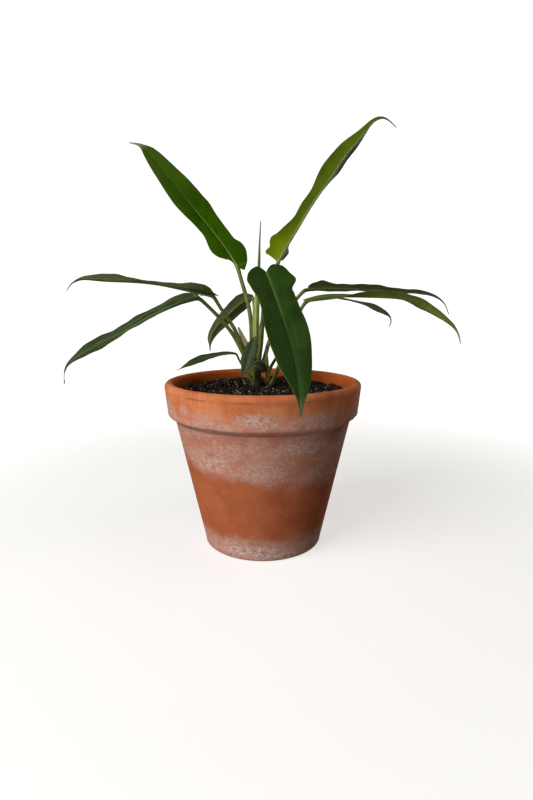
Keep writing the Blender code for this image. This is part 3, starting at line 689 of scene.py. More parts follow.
def clayMaterial():
    # fired clay under salts: their coverage tints the clay pink, and pale crust and darker gaps come
    # by coverage * noise
    material, tree, shader = startMaterial("clay", 0.92, 0.06)
    place = objectPlace(tree)
    x, y, z = split(place)
    radius = maths("SQRT", x * x + y * y)
    wander = noise(place, 0.035, detail=4.0) - 0.5
    ripple = noise(place, 0.11, detail=4.0) - 0.5
    level = z + ripple * 7.0 + wander * 20.0  # the height, with ragged edges
    clouds = patches(place, 0.04, 0.36, 0.64)
    wipes = patches(stretched(place, 1.6), 0.045, 0.3, 0.7)
    runs = patches(stretched(place, 0.15), 0.12, 0.45, 0.68)
    lines = patches(stretched(place, 12.0), 0.06, 0.42, 0.64)

    # bare clay: orange on the band, browner on the body, with clouds, turning lines and faint runs
    body = mix(clouds * 0.5, pot["bare"], pot["deep"])
    band = mix(clouds, pot["orange"], pot["ember"])
    clay = mix(z.ease(130.0, 142.0), body, band)
    clay = mix(lines * 0.22, clay, pot["ember"])
    clay = mix(runs * 0.22, clay, pot["deep"])

    # salts: a pink wash, pale crust in grains and strokes, and the dark gaps between them
    coverage = maths("MINIMUM", saltCoverage(place, x, level, wipes), 1.45) * z.ease(0.8, 3.2, 0.25, 1.0)
    speckle = noise(place, 0.62, roughness=0.62) * 0.75 + noise(place, 0.2, detail=2.0) * 0.25
    strokes = patches(stretched(place, 3.5), 0.16, 0.42, 0.66)
    crust = maths("MINIMUM", coverage * (strokes * 0.3 + speckle.ease(0.42, 0.66, 0.0, 0.55)), 1.0)
    clay = mix(coverage.ease(-0.1, 0.6, 0.0, 0.9), clay, pot["wash"])
    clay = mix(crust, clay, pot["salt"])
    clay = mix(coverage * speckle.ease(0.34, 0.48, 0.4, 0.0), clay, pot["deep"])

    # painted shade in the crease under the band's overhang, dark pits, a dark seam, and painted shade on the
    # inside wall above the soil
    # painted shade: the crease where the band overhangs the body is darkened
    neck = z.ease(131.2, 132.4) * z.ease(133.6, 135.4, 1.0, 0.0)
    clay = mix(neck * 0.2, clay, pot["dirtAndShade"])
    row = level.ease(151.0, 155.0) * level.ease(162.0, 167.0, 1.0, 0.0) * x.ease(-25.0, 15.0, 1.0, 0.0)
    uneven = noise(place, 0.4, detail=1.0) * 0.5 + (cells(place, 0.27) - 0.2)
    pitted = uneven.ease(0.05, 0.2, 1.0, 0.0) * maths("MAXIMUM", patches(place, 0.05, 0.5, 0.6) * 0.4, row)
    clay = mix(pitted * 0.65, clay, pot["dirtAndShade"])
    seam = abs(z - 163.6).ease(0.2, 1.0, 0.4, 0.0) * wander.ease(-0.05, 0.1)
    clay = mix(seam, clay, pot["dirtAndShade"])
    # painted shade: the inside wall darkens just above the soil and most on the left, whose inside faces away
    # from the key light
    paintedInsideShade = level.ease(157.0, 165.0, 0.75, 0.0) * x.ease(-90.0, 40.0, 1.0, 0.3)
    within = radius.ease(91.5, 93.0, 1.0, 0.0) * z.ease(139.0, 142.0)
    clay = mix(within, clay, mix(paintedInsideShade, pot["inside"], pot["paintedInsideShade"]))
    plug(crust.ease(0.0, 0.6, 0.84, 0.98), shader.inputs["Roughness"])
    coverSkin(shader, clay, pitted * -1.5 + (crust * 0.7 + grained(place, 0.7, 0.5)), 0.5, 0.25)
    return material


makePot()
print("pot turned")


# Soil

soil = dict(top=157.0, relief=1.5, wallGap=0.3, sides=220, rings=96, grainReach=87.0, heap=0.0,
            moundHeight=5.0, moundPlace=(-12.0, 38.0), moundReach=45.0, tint=0.2)

soilLooks = dict(
    soil=dict(dark=(9, 7, 6), brown=(34, 24, 18), roughness=0.95),
    crumbs=dict(dark=(4, 3, 2), brown=(54, 37, 24), roughness=0.6),
    bark=dict(dark=(30, 20, 15), brown=(120, 84, 60), roughness=0.7),
    grit=dict(dark=(138, 116, 90), brown=(214, 202, 184), roughness=0.6))
perliteLook = dict(white=(214, 206, 196), stain=(150, 128, 108), roughness=0.85)

looseGrains = [
    dict(name="soil_crumbs", look="crumbs", count=3200, sizes=(0.7, 1.9), stretch=(0.75, 1.25),
         jagged=0.13, sink=0.6, seed=31, fineness=1),
    dict(name="soil_clods", look="crumbs", count=130, sizes=(1.6, 3.2), stretch=(0.7, 1.3),
         jagged=0.09, sink=0.8, seed=32, fineness=2),
    dict(name="bark_chips", look="bark", count=80, sizes=(1.6, 3.4), stretch=(0.35, 1.6),
         jagged=0.12, sink=0.5, seed=33, fineness=1),
    dict(name="soil_grit", look="grit", count=1500, sizes=(0.35, 0.95), stretch=(0.6, 1.3),
         jagged=0.14, sink=0.3, seed=35, fineness=1),
    dict(name="perlite_grains", look="perlite", count=260, sizes=(0.45, 1.2), stretch=(0.8, 1.2),
         jagged=0.14, sink=0.4, seed=34, fineness=1),
]


def soilHeight(x, y):
    # a mound and three crossing swells over the mean level, as in the packed soil, with finer lumps
    away = np.hypot(x - soil["moundPlace"][0], y - soil["moundPlace"][1]) / soil["moundReach"]
    swells = 0.45 * np.sin(x / 6.1 + 1.3) * np.cos(y / 5.3)
    swells = swells + 0.35 * np.sin((x + y) / 4.1 + 0.4) * np.sin((x - 2 * y) / 7.7)
    swells = swells + 0.30 * np.cos(x / 17.0 - 0.7) * np.cos(y / 14.0 + 0.9)
    lumps = 1.6 * latticeNoise(x, y, 6.5, 21) + 0.9 * latticeNoise(x, y, 2.9, 22) - 1.25
    return soil["moundHeight"] * bell(away) + soil["relief"] * swells + lumps


def soilMaterial(name):
    # dark to brown by patches of noise and by each grain's own tint
    look = soilLooks[name]
    material, tree, shader = startMaterial(name, look["roughness"], 0.25)
    place = objectPlace(tree)
    tint = layerValues(tree, "tint")[0] ** 3.0
    share = patches(place, 0.35, 0.4, 0.65) * 0.45 + tint * 0.6
    coverSkin(shader, mix(share, look["dark"], look["brown"]), grained(place, 1.1, 0.4), 0.9, 0.4)
    return material


def perliteMaterial():
    # off-white, stained in patches
    material, tree, shader = startMaterial("perlite", perliteLook["roughness"], 0.3)
    place = objectPlace(tree)
    stained = mix(patches(place, 0.6, 0.4, 0.7), perliteLook["white"], perliteLook["stain"])
    coverSkin(shader, stained, grained(place, 2.2, 0.8), 0.8, 0.25)
    return material


def makeSoil(material):
    # polar grid: relief over the top, then down the pot's inner wall and across its floor
    wallRadius = innerRadius(soil["top"]) - soil["wallGap"]
    radius = np.sqrt(np.linspace(0.0001, 1.0, soil["rings"]))[:, None] * (wallRadius - 0.6)
    heights = np.array([soil["top"] - 3, *bevelHeights()[::-1], pot["floor"] + soil["wallGap"]])[:, None]
    turn = turnSteps(soil["sides"])
    surface = turnRound(radius, 0.0, turn)
    surface[..., 2] = soil["top"] + soilHeight(surface[..., 0], surface[..., 1])
    side = turnRound(innerRadius(heights) - soil["wallGap"], heights, turn)
    points, quads, fans = wrapGrid(np.concatenate([surface, side])[::-1])
    tint = np.full((len(points), 3), soil["tint"])
    dress(buildPiece("potting_soil", points, quads, fans, [material], layers=dict(tint=tint)), "soil", "soil")


def ball(fineness):
    # corners and faces of a small icosphere of radius 1
    shape = bmesh.new()
    bmesh.ops.create_icosphere(shape, subdivisions=fineness, radius=1.0)
    corners = np.array([corner.co[:] for corner in shape.verts])
    faces = np.array([[corner.index for corner in face.verts] for face in shape.faces])
    shape.free()
    return corners, faces


def scatter(loose, material):
    # copies of one small ball, each stretched, dented, turned and set into the soil's surface:
    # centre + turn @ (ball * stretch * size * (1 + dents))
    rng = np.random.default_rng(loose["seed"])
    count = loose["count"]
    corners, faces = ball(loose["fineness"])
    far, turn = np.sqrt(rng.random(count)) * soil["grainReach"], rng.uniform(0, 2 * np.pi, count)
    x, y = far * np.cos(turn), far * np.sin(turn)
    smallest, largest = loose["sizes"]
    size = smallest + (largest - smallest) * rng.random(count) ** 2.2
    spread = rng.uniform(*loose["stretch"], (count, 3)) * size[:, None]
    dents = 1 + loose["jagged"] * rng.normal(0, 1, (count, len(corners)))
    shape = corners[None] * dents[..., None] * spread[:, None]
    turns = np.linalg.qr(rng.normal(0, 1, (count, 3, 3)))[0]
    turns[:, :, 0] *= np.sign(np.linalg.det(turns))[:, None]
    shape = np.einsum("nij,nkj->nki", turns, shape)
    ground = soil["top"] + soilHeight(x, y) + soil["heap"] * rng.random(count)
    centre = np.column_stack([x, y, ground - shape[..., 2].min(1) - loose["sink"] * size])
    points = (centre[:, None] + shape).reshape(-1, 3)
    fans = (faces[None] + len(corners) * np.arange(count)[:, None, None]).reshape(-1, 3)
    tint = np.repeat(rng.random((count, 3)), len(corners), axis=0)
    dress(buildPiece(loose["name"], points, noQuads, fans, [material], layers=dict(tint=tint)), "soil")


soilSkins = {name: soilMaterial(name) for name in soilLooks}
soilSkins["perlite"] = perliteMaterial()
makeSoil(soilSkins["soil"])
for loose in looseGrains:
    scatter(loose, soilSkins[loose["look"]])
print("soil laid")


# Stems

stemLook = dict(sides=40, ringSpacing=4.6, ringHeight=0.5, ringTilt=0.16, ribHeight=0.12, inset=0.35,
                skin=(48, 42, 18), bark=(32, 24, 13), green=(62, 62, 20))

stems = [
    dict(name="main_stem", radius=(5.5, 6.8, 7.0, 6.2, 5.0, 3.8),
         line=[(-8, 14, 124), (-8, 14, 150), (-8, 14, 168), (-7, 15, 186), (-6, 15, 197), (-6, 15, 205)]),
    dict(name="side_stem", radius=(2.8, 3.4, 3.4, 2.2),
         line=[(8, 14, 130), (8, 14, 150), (8, 14, 162), (8, 14, 171)]),
]


def alongStalk(tree, count, stretch):
    # streaks on a tube, and how far along it a place is, in millimetres and as a share
    around, along, share = layerValues(tree, "stalkPlace")
    return useGroup(streaks, around=around, along=along, count=count, stretch=stretch)[0], along, share


def stemMaterial():
    # brown in patches, with green streaks
    material, tree, shader = startMaterial("stem", 0.62, 0.4)
    place = objectPlace(tree)
    lines, _, _ = alongStalk(tree, 4.0, 9.0)
    skin = mix(patches(place, 0.14, 0.38, 0.62), stemLook["skin"], stemLook["bark"])
    skin = mix(lines * 0.5, skin, stemLook["green"])
    coverSkin(shader, skin, lines * 0.5 + grained(place, 0.9, 0.3), 0.6, 0.3)
    return material


def makeStem(stem, material):
    # radius along the line, with a raised ring at each old leaf scar, tilted a little from ring to
    # ring, and faint ribs up the sides
    count = int(stem["line"][-1][2] - stem["line"][0][2])  # a row for each millimetre
    shares = np.linspace(0, 1, count)
    path, length = naturalCurve(stem["line"], shares)
    radii = np.interp(shares, np.linspace(0, 1, len(stem["radius"])), stem["radius"])[:, None]
    turn, t = turnSteps(stemLook["sides"]), shares[:, None]
    phase = t * length / stemLook["ringSpacing"] + stemLook["ringTilt"] * np.sin(turn + t * 9.0)
    rings = stemLook["ringHeight"] * bell((phase % 1 - 0.5) / 0.13) * (1 - 0.4 * t)
    ribs = stemLook["ribHeight"] * np.sin(7 * turn + 1.3)
    shape = carryRound(path, radii - stemLook["inset"] + rings + ribs, np.array([1.0, 0.0, 0.0]))
    addTube(stem["name"] + "_bark", "stem", stem["name"], shape, shares * length, material)


stemSkin = stemMaterial()
for stem in stems:
    makeStem(stem, stemSkin)


# Rolled leaf and sheaths

shootSides = 36

shoots = [
    dict(name="rolled_leaf", slot="shoot", flat=1.0, overlap=0.16, twist=1.3, wrinkles=0.0, rows=150,
         line=[(-6, 15, 200), (-7, 15, 217), (-6.8, 16, 236), (-5.4, 15, 260), (-4, 14, 285),
               (-3, 13, 309), (-2, 12, 327)],
         radius=(3.4, 3.7, 3.3, 2.4, 1.6, 1.0, 0.5),
         pale=(174, 190, 100), green=(82, 104, 32), roughness=0.45),
    dict(name="dry_sheath", slot="dry_sheath", flat=0.5, overlap=0.25, twist=0.3, wrinkles=0.09, rows=60,
         line=[(-9, 10, 190), (-13, 8, 197), (-17, 7, 206), (-21, 7, 214), (-25, 7, 223)],
         radius=(2.3, 2.0, 1.8, 1.5, 0.8), pale=(204, 184, 140), green=(170, 154, 104), roughness=0.7),
    dict(name="tall_sheath", slot="sheath", flat=0.7, overlap=0.2, twist=0.25, wrinkles=0.02, rows=70,
         line=[(6, 13, 166), (5, 10, 178), (4, 9, 192), (4, 10, 206)],
         radius=(2.2, 1.9, 1.4, 0.4), pale=(148, 146, 66), green=(110, 108, 42), roughness=0.5),
    dict(name="short_sheath", slot="sheath", flat=0.7, overlap=0.2, twist=-0.2, wrinkles=0.02, rows=60,
         line=[(8, 12, 163), (11, 8, 169), (13, 6, 176), (15, 5, 184)],
         radius=(1.9, 1.8, 1.3, 0.4), pale=(164, 158, 84), green=(128, 124, 56), roughness=0.5),
]


def shootMaterial(shoot):
    # pale, in streaks, and green towards the tip
    material, tree, shader = startMaterial(shoot["name"], shoot["roughness"], 0.45)
    lines, _, share = alongStalk(tree, 3.5, 26.0)
    skin = mix(lines, shoot["pale"], shoot["green"])
    skin = mix(share.ease(0.3, 0.9, 0.0, 0.8), skin, shoot["green"])
    coverSkin(shader, skin, lines, 0.4, 0.2)
    return material


def makeShoot(shoot):
    # a rolled sheet: the radius falls once round its turn, which leaves the overlap's edge as a step
    # that winds up the shoot, and the section is flattened one way
    shares = np.linspace(0, 1, shoot["rows"])
    path, length = naturalCurve(shoot["line"], shares)
    radii = easedValues(np.linspace(0, 1, len(shoot["radius"])), shoot["radius"], shares)[:, None]
    turn, t = turnSteps(shootSides), shares[:, None]
    rolled = (turn / (2 * np.pi) - shoot["twist"] * t) % 1
    step = 1 + shoot["overlap"] * ((1 - rolled) ** 2.5 - 0.35)
    creases = shoot["wrinkles"] * np.sin(6 * turn + 5 * t)
    oval = shoot["flat"] + (1 / shoot["flat"] ** 0.4 - shoot["flat"]) * np.abs(np.cos(turn))
    shape = carryRound(path, radii * oval * (step + creases), np.array([1.0, 0.2, 0.0]))
    skin = shootMaterial(shoot)
    addTube(shoot["name"] + "_skin", shoot["slot"], shoot["name"], shape, shares * length, skin)


for shoot in shoots:
    makeShoot(shoot)
print("stems and shoots grown")


# Leaves

leafSetup = dict(
    widthStations=(0.0, 0.03, 0.08, 0.16, 0.28, 0.50, 0.72, 0.86, 0.93, 1.0),
    foldStations=(0.0, 0.15, 0.4, 0.7, 1.0),
    tipHalfWidth=0.57, lobeShare=0.16, rowCrowding=1.15,
    thickness=0.45, cup=0.22, edgeWave=0.35, veinRelief=0.025, ribGroove=0.14,
    veinSpacing=5.6, fineSpacing=2.1, veinSlant=0.42, streakFineness=0.45,
    streakColour=(126, 136, 104), marginColour=(128, 134, 74), tipColour=(156, 160, 124),
)
stalkLook = dict(sides=18, rows=70, ribReach=0.93, ribSunk=0.45, channel=0.12, jointSmoothing=6,
                 green=(92, 108, 38), pale=(132, 148, 74), blotch=(80, 84, 34), foot=(100, 98, 38))

leafDefaults = dict(
    face=[(0, 0, 1), (0, 0, 1)],  # the way the upper side looks, in even steps along the midrib
    sweep=(0, 0),  # how far the left and the right lobe reach back past the joint
    bumps=(),  # swellings and notches: half, share along, reach, size
    heel=1.0,  # share of the width left at the joint
    whisker=0.0,  # half the thickness that the tip gains
    ribEnd=0.25,  # share of the midrib's colour left at the tip
    gloss=0.42, shine=0.25, baseShare=0.3, tipShare=0.2,
    rows=190, columns=45, ribRows=110,
)
smallLeaf = dict(rows=110, columns=29, ribRows=70)

# rib is the midrib from the joint to the tip, left and right the half widths at the width stations,
# foldLeft and foldRight each half's lift in degrees at the fold stations, wave the margin's count and
# height, stalk its middle line, and stalkRadius its radius at the foot, in the middle and at the joint.
# end colours the upper side towards the tip, base both sides at the joint.
leaves = [
    dict(name="upper_left", slot="leaf_deep",
         rib=[(-26, 24, 284), (-42, 32, 308), (-62, 40, 333), (-84, 48, 359), (-107, 54, 387),
              (-122, 58, 405), (-130, 59, 411), (-141, 59, 413)],
         face=[(-0.1, -1, 0.4), (-0.1, -1, 0.4)],
         left=(6, 8, 12, 15, 11, 14, 10.5, 6.6, 2.6), right=(5, 12.5, 17, 13, 13.2, 15.5, 12, 7.2, 1.9),
         foldLeft=(12, 12, 12, 12, 20), foldRight=(12, 12, 12, 12, 20), sweep=(-12, 7), wave=(3.5, 0.9),
         bumps=[("right", 0.115, 0.025, 1.0), ("right", 0.40, 0.06, 1.3)],
         stalk=[(-8, 15, 191), (-11, 19, 203), (-12, 22, 222), (-15, 23, 244), (-21, 24, 266)],
         stalkRadius=(2.7, 2.4, 2.0),
         top=(36, 68, 2), light=(50, 82, 6), end=(62, 86, 24), under=(92, 116, 44), underLight=(106, 130, 58),
         ribColour=(78, 108, 26), ribWidth=0.9, gloss=0.5, shine=0.0, streak=0.0,
         baseShare=0.2, tipShare=0.85),
    # upper_right: the grey-green top, light and end colours of its upper side are a painted sheen, and its
    # saturated yellow under colours and bright yellow base are painted light shining through the blade
    dict(name="upper_right", slot="leaf_olive",
         rib=[(15, 16, 288), (24, 11, 303), (36, 5, 322), (46, 0, 338), (56, -6, 352), (68, -12, 369),
              (79, -17, 384), (90, -20, 396), (98, -22, 406), (104, -23, 410), (111, -23, 410),
              (121, -22, 403)],
         face=[(-0.5, 0.8, 0.35), (-0.5, 0.8, 0.35)],
         left=(7, 10, 11.5, 8.5, 7, 11.5, 9.5, 2.8, 0.9), right=(14, 16, 17.5, 14, 9, 14, 8.5, 2.8, 1.2),
         foldLeft=(20, 51, 48, 33, 40), foldRight=(25, 30, 48, 48, 40), sweep=(-3, -2), wave=(3.0, 0.8),
         bumps=[("right", 0.012, 0.014, 1.4), ("right", 0.05, 0.018, -2.0), ("right", 0.105, 0.02, 1.2),
                ("right", 0.43, 0.075, -3.7), ("left", 0.055, 0.022, 5.0), ("left", 0.55, 0.06, 4.2)],
         stalk=[(-5, 18, 187), (-4, 25, 205), (0, 27, 232), (6, 23, 261)], stalkRadius=(2.7, 2.2, 1.8),
         top=(106, 122, 84), light=(120, 136, 98), end=(192, 218, 132), under=(74, 94, 0),
         underLight=(86, 108, 0), base=(142, 166, 14),
         ribColour=(126, 146, 66), ribWidth=1.8, gloss=0.4, shine=0.05, streak=0.04, baseShare=0.9),
    dict(name="front", slot="leaf_blue",
         rib=[(3, -55, 274), (9, -78, 257), (16, -100, 236), (21, -116, 219), (25, -132, 200),
              (27, -145, 180), (28, -152, 164)],
         face=[(0, -0.6, 0.75), (0.05, -0.7, 0.6), (0.1, -0.9, 0.3)],
         left=(9, 15.5, 18.5, 21, 16, 17, 13, 8, 3.5), right=(8, 14, 18.5, 19, 15.5, 18, 14.5, 5.5, 1.6),
         foldLeft=(14, 12, 10, 11, 12), foldRight=(14, 12, 10, 11, 12), sweep=(8, 8), wave=(2.5, 0.5),
         bumps=[("right", 0.115, 0.03, 1.8), ("left", 0.14, 0.03, 0.8), ("left", 0.215, 0.032, -2.8)],
         stalk=[(-5, 13, 188), (-2, 5, 206), (0, -10, 234), (2, -32, 256)], stalkRadius=(2.6, 2.2, 1.8),
         top=(28, 54, 8), light=(38, 66, 14), under=(88, 110, 54), underLight=(102, 124, 68),
         ribColour=(58, 90, 30), ribWidth=2.1, gloss=0.48, shine=0.1, streak=0.05, baseShare=0.4),
    dict(name="left_high", slot="leaf_grey",
         rib=[(-50, 14, 255), (-72, 10, 259), (-101, 6, 265), (-132, 2, 268), (-161, 0, 269),
              (-179, 0, 270), (-189, 0, 266), (-195, 0, 259)],
         left=(6, 12, 16, 15, 11, 13, 13, 7, 3), right=(5, 12, 16, 15, 11, 13, 13.5, 8, 3),
         foldLeft=(8, 8, 6, 4, 0), foldRight=(34, 38, 12, 33, 29), sweep=(5, 1), wave=(3.0, 0.7),
         heel=0.3, whisker=0.2,
         stalk=[(-8, 14, 176), (-14, 14, 190), (-22, 14, 205), (-30, 15, 222), (-42, 15, 240)],
         stalkRadius=(3.0, 2.3, 1.8),
         # left_high: its pale under and underLight colours are painted light from below on the underside
         top=(54, 74, 32), light=(70, 88, 48), end=(76, 88, 60), under=(132, 146, 84),
         underLight=(148, 160, 100), base=(20, 60, 0),
         ribColour=(112, 126, 76), ribWidth=1.4, gloss=0.4, shine=0.2, streak=0.5,
         baseShare=0.9, tipShare=0.6),
    dict(name="left_low", slot="leaf_green",
         rib=[(-62, -14, 253), (-82, -20, 246), (-108, -26, 234), (-133, -32, 220), (-158, -36, 207),
              (-176, -39, 196), (-186, -40, 186), (-188, -40, 172)],
         left=(6, 11, 15, 15, 12, 14, 13, 7, 3), right=(6, 11, 15, 15, 12, 14, 13, 7, 3),
         foldLeft=(4, 2, -6, -17, -13), foldRight=(29, 31, 27, 28, 30), sweep=(5, 1), wave=(3.0, 0.8),
         stalk=[(-8, 12, 170), (-14, 9, 184), (-22, 5, 200), (-31, 2, 217), (-46, -6, 236)],
         stalkRadius=(3.0, 2.2, 1.8),
         top=(34, 56, 16), light=(48, 70, 28), end=(32, 52, 20), under=(90, 106, 60),
         underLight=(104, 120, 74), base=(32, 54, 8),
         ribColour=(124, 146, 110), ribWidth=1.5, ribEnd=0.6,
         gloss=0.4, shine=0.26, streak=0.5, baseShare=0.2),
    dict(name="left_small", slot="leaf_green", **smallLeaf,
         rib=[(-27, 2, 197), (-44, -4, 196), (-58, -8, 193), (-71, -12, 188), (-86, -14, 181)],
         left=(0.6, 1.5, 3, 4.5, 6, 7, 5.5, 3, 1), right=(0.6, 1.5, 3, 4.5, 6, 7, 6, 3, 1),
         foldLeft=(-9, -8, -8, -18, 0), foldRight=(33, 26, 20, 33, 40), wave=(2.0, 0.3),
         stalk=[(-9, 10, 164), (-15, 8, 173), (-21, 7, 183), (-25, 5, 191)], stalkRadius=(1.9, 1.2, 1.0),
         top=(40, 62, 24), light=(56, 76, 38), under=(86, 100, 52), underLight=(100, 114, 66),
         ribColour=(98, 120, 72), ribWidth=0.9, streak=0.2, tipShare=0.4),
    dict(name="front_small", slot="leaf_blue", **smallLeaf,
         rib=[(-7, -20, 215), (-10.5, -26, 206.5), (-13.7, -31, 198), (-15.6, -35, 191),
              (-17.4, -38, 184.5), (-19, -40, 178.7), (-18.7, -40.5, 175), (-16.3, -40, 171)],
         face=[(-0.1, -0.9, 0.4), (-0.1, -0.9, 0.4)],
         left=(0.6, 1.5, 2.8, 4.4, 5.8, 6.3, 3.2, 0.8, 0.6),
         right=(0.6, 1.5, 2.8, 4.4, 5.8, 6.3, 3.2, 0.8, 0.6),
         foldLeft=(12, 12, 10, 10, 10), foldRight=(12, 12, 10, 10, 10), wave=(1.5, 0.2),
         stalk=[(-8, 12, 166), (-9, 4, 176), (-9, -3, 190), (-8, -12, 205)], stalkRadius=(1.9, 1.3, 1.0),
         top=(38, 56, 26), light=(50, 68, 36), under=(92, 110, 64), underLight=(106, 124, 78),
         ribColour=(74, 96, 58), ribWidth=0.6, gloss=0.45, streak=0.1, baseShare=0.2, tipShare=0.8),
    dict(name="back", slot="leaf_grey",
         rib=[(-10, 45, 254), (-22, 60, 249), (-39, 74, 235), (-53, 82, 221), (-61, 88, 207), (-63, 90, 191)],
         face=[(0.1, 0.35, 1), (0.2, 0.6, 0.8), (0.3, 0.7, 0.7)],
         left=(4, 8, 10.5, 10.5, 10, 8, 5.5, 4.5, 2), right=(1, 2.5, 5, 8.5, 12.5, 11, 7, 3, 1),
         foldLeft=(14, 12, 10, 10, 10), foldRight=(14, 12, 10, 10, 10), sweep=(2, -2), wave=(2.5, 0.5),
         stalk=[(-9, 17, 170), (-10, 25, 184), (-10, 31, 206), (-9, 38, 232)], stalkRadius=(2.6, 2.0, 1.6),
         top=(42, 74, 24), light=(58, 90, 34), under=(100, 112, 62), underLight=(114, 126, 76),
         ribColour=(136, 146, 96), ribWidth=1.6, ribEnd=0.6, shine=0.3, streak=0.35, baseShare=0.2),
    dict(name="right_high", slot="leaf_deep",
         rib=[(44, 30, 262), (65, 38, 262), (95, 46, 262), (131, 52, 261), (161, 56, 259),
              (186, 58, 256), (201, 58, 248), (208, 58, 235)],
         left=(4, 11, 14, 13, 11.5, 12.5, 11.5, 7, 2.5), right=(6, 11, 14, 13, 11, 13, 12, 7, 2.5),
         foldLeft=(14, 38, 31, 22, 24), foldRight=(-8, -12, -12, -10, -6), sweep=(-6, 3), wave=(3.0, 0.6),
         bumps=[("left", 0.15, 0.03, 2.2), ("left", 0.23, 0.04, -1.8)], whisker=0.3,
         stalk=[(-4, 15, 176), (2, 16, 191), (6, 18, 206), (15, 22, 225), (28, 26, 243)],
         stalkRadius=(2.6, 2.2, 1.9),
         top=(34, 52, 8), light=(44, 64, 14), under=(82, 92, 42), underLight=(96, 106, 54),
         ribColour=(90, 108, 50), ribWidth=1.4, streak=0.15, tipShare=0.3),
    dict(name="right_low", slot="leaf_olive",
         rib=[(44, 8, 250), (60, 2, 253), (87, -3, 254), (117, -8, 253), (142, -12, 250),
              (163, -15, 240), (181, -17, 228), (190, -18, 219), (194, -18, 208)],
         left=(5, 9, 12, 12, 10, 12, 9.5, 3.2, 1.2), right=(4, 8, 11, 12, 11, 12.5, 9.5, 6.5, 2.2),
         foldLeft=(18, 12, 14, -12, -10), foldRight=(-22, -15, 26, 28, 20), sweep=(4, 2), wave=(3.0, 0.7),
         heel=0.3, stalk=[(8, 15, 163), (14, 16, 175), (25, 14, 203), (35, 10, 232), (40, 9, 243)],
         stalkRadius=(2.2, 2.0, 1.8),
         top=(72, 94, 26), light=(86, 106, 36), under=(112, 132, 48), underLight=(130, 150, 64),
         ribColour=(118, 134, 62), ribWidth=1.4, gloss=0.44, shine=0.22, streak=0.15),
    dict(name="right_short", slot="leaf_grey", **smallLeaf,
         rib=[(45, 26, 251), (53, 26, 253), (64, 26, 254), (77, 27, 253), (94, 29, 250),
              (112, 34, 245), (129, 38, 238.5), (138, 40, 232), (139, 40, 227), (137.6, 40, 222)],
         face=[(0, 0, 1), (0, 0, 1), (1, 0, 0.3)],
         left=(3, 6, 8, 8, 6.5, 6.5, 8.5, 5, 1.8), right=(3, 6, 7, 7, 6.5, 6.5, 8.5, 5, 1.8),
         foldLeft=(5, 2, 10, 24, 30), foldRight=(0, 0, -14, -20, -10), sweep=(3, 3), wave=(2.0, 0.3),
         whisker=0.4, stalkRadius=(2.0, 1.7, 1.5),
         stalk=[(5, 16.5, 163), (5, 22, 171), (12, 27, 186), (24, 27, 202), (33, 27, 219), (39, 26, 237)],
         top=(58, 76, 36), light=(74, 90, 50), under=(98, 106, 64), underLight=(112, 120, 78),
         ribColour=(104, 116, 70), ribWidth=0.9, streak=0.25, tipShare=0.3),
    dict(name="crown_tiny", slot="leaf_grey", **smallLeaf,
         rib=[(4, -2, 178), (-1, -7, 184), (-7, -12, 186.5), (-13, -17, 184)],
         face=[(0, -1, 0.4), (0, -1, 0.4)],
         left=(0.5, 1.4, 2.4, 3.4, 4.2, 4.6, 3.4, 2, 1), right=(0.5, 1.4, 2.4, 3.4, 4.2, 4.6, 3.4, 2, 1),
         foldLeft=(14, 14, 14, 14, 14), foldRight=(14, 14, 14, 14, 14), wave=(1.0, 0.1),
         stalk=[(6, 13, 162), (3.2, 9, 166), (3.2, 3, 172.5)], stalkRadius=(1.4, 1.0, 0.8),
         top=(78, 98, 64), light=(92, 112, 76), under=(80, 96, 56), underLight=(94, 110, 70),
         ribColour=(86, 104, 64), ribWidth=0.7, gloss=0.45, streak=0.1),
]


def bladeMaterial(leaf, face):
    # mottled green, paler at the base, in streaks, along the midrib, on the veins, margin and tip
    upper = face == "upper"
    deep, light = (leaf["top"], leaf["light"]) if upper else (leaf["under"], leaf["underLight"])
    material, tree, shader = startMaterial(leaf["name"] + "_" + face, leaf["gloss"], leaf["shine"])
    place = objectPlace(tree)
    share, along, _ = layerValues(tree, "leafPlace")
    across, distance, _ = layerValues(tree, "leafSize")
    rib, margin, base, tip, firstVeins = useGroup(
        leafBands, share=share, across=across, along=along, distance=distance, ribWidth=leaf["ribWidth"])
    lines = useGroup(leafStreaks, across=across, distance=distance, fineness=leafSetup["streakFineness"])[0]
    slanted = dict(across=across, along=distance, slant=leafSetup["veinSlant"])
    fineVeins, quilt = useGroup(leafVeins, **slanted, spacing=leafSetup["fineSpacing"], width=0.35)
    mainVeins, _ = useGroup(leafVeins, **slanted, spacing=leafSetup["veinSpacing"], width=0.16)
    mottled = patches(place, 0.05, 0.36, 0.64)
    specks = patches(place, 1.4, 0.5, 0.62)

    skin = mix(mottled, deep, light)
    # the base colour; on upper_right it is painted light shining through the blade
    skin = mix(base * leaf["baseShare"], skin, leaf.get("base", light))
    # the end colour; on upper_right it is a painted sheen
    if upper and "end" in leaf:
        skin = mix(along.ease(0.35, 0.8, 0.0, 0.8), skin, leaf["end"])
    skin = mix(lines * leaf["streak"], skin, leafSetup["streakColour"])
    skin = mix(fineVeins * 0.08, skin, leaf["ribColour"])
    skin = mix(mainVeins * 0.08, skin, leaf["ribColour"])
    skin = mix(firstVeins * 0.5, skin, leaf["ribColour"])
    skin = mix(specks * 0.08, skin, deep, blend="MULTIPLY")
    skin = mix(rib * along.ease(0.15, 0.7, 0.9, leaf["ribEnd"]), skin, leaf["ribColour"])
    skin = mix(margin * along.ease(0.3, 0.9, 0.15, 0.6), skin, leafSetup["marginColour"])
    skin = mix(tip * leaf["tipShare"], skin, leafSetup["tipColour"])
    duller = 0.0 if upper else 0.12
    plug(specks * 0.06 + (mottled * 0.08 + (leaf["gloss"] + duller)), shader.inputs["Roughness"])
    height = quilt * (0.3 if upper else -0.3) + noise(place, 1.6, detail=2.0) * 0.35
    coverSkin(shader, skin, lines * leaf["streak"] + height, 0.3, 0.2)
    return material


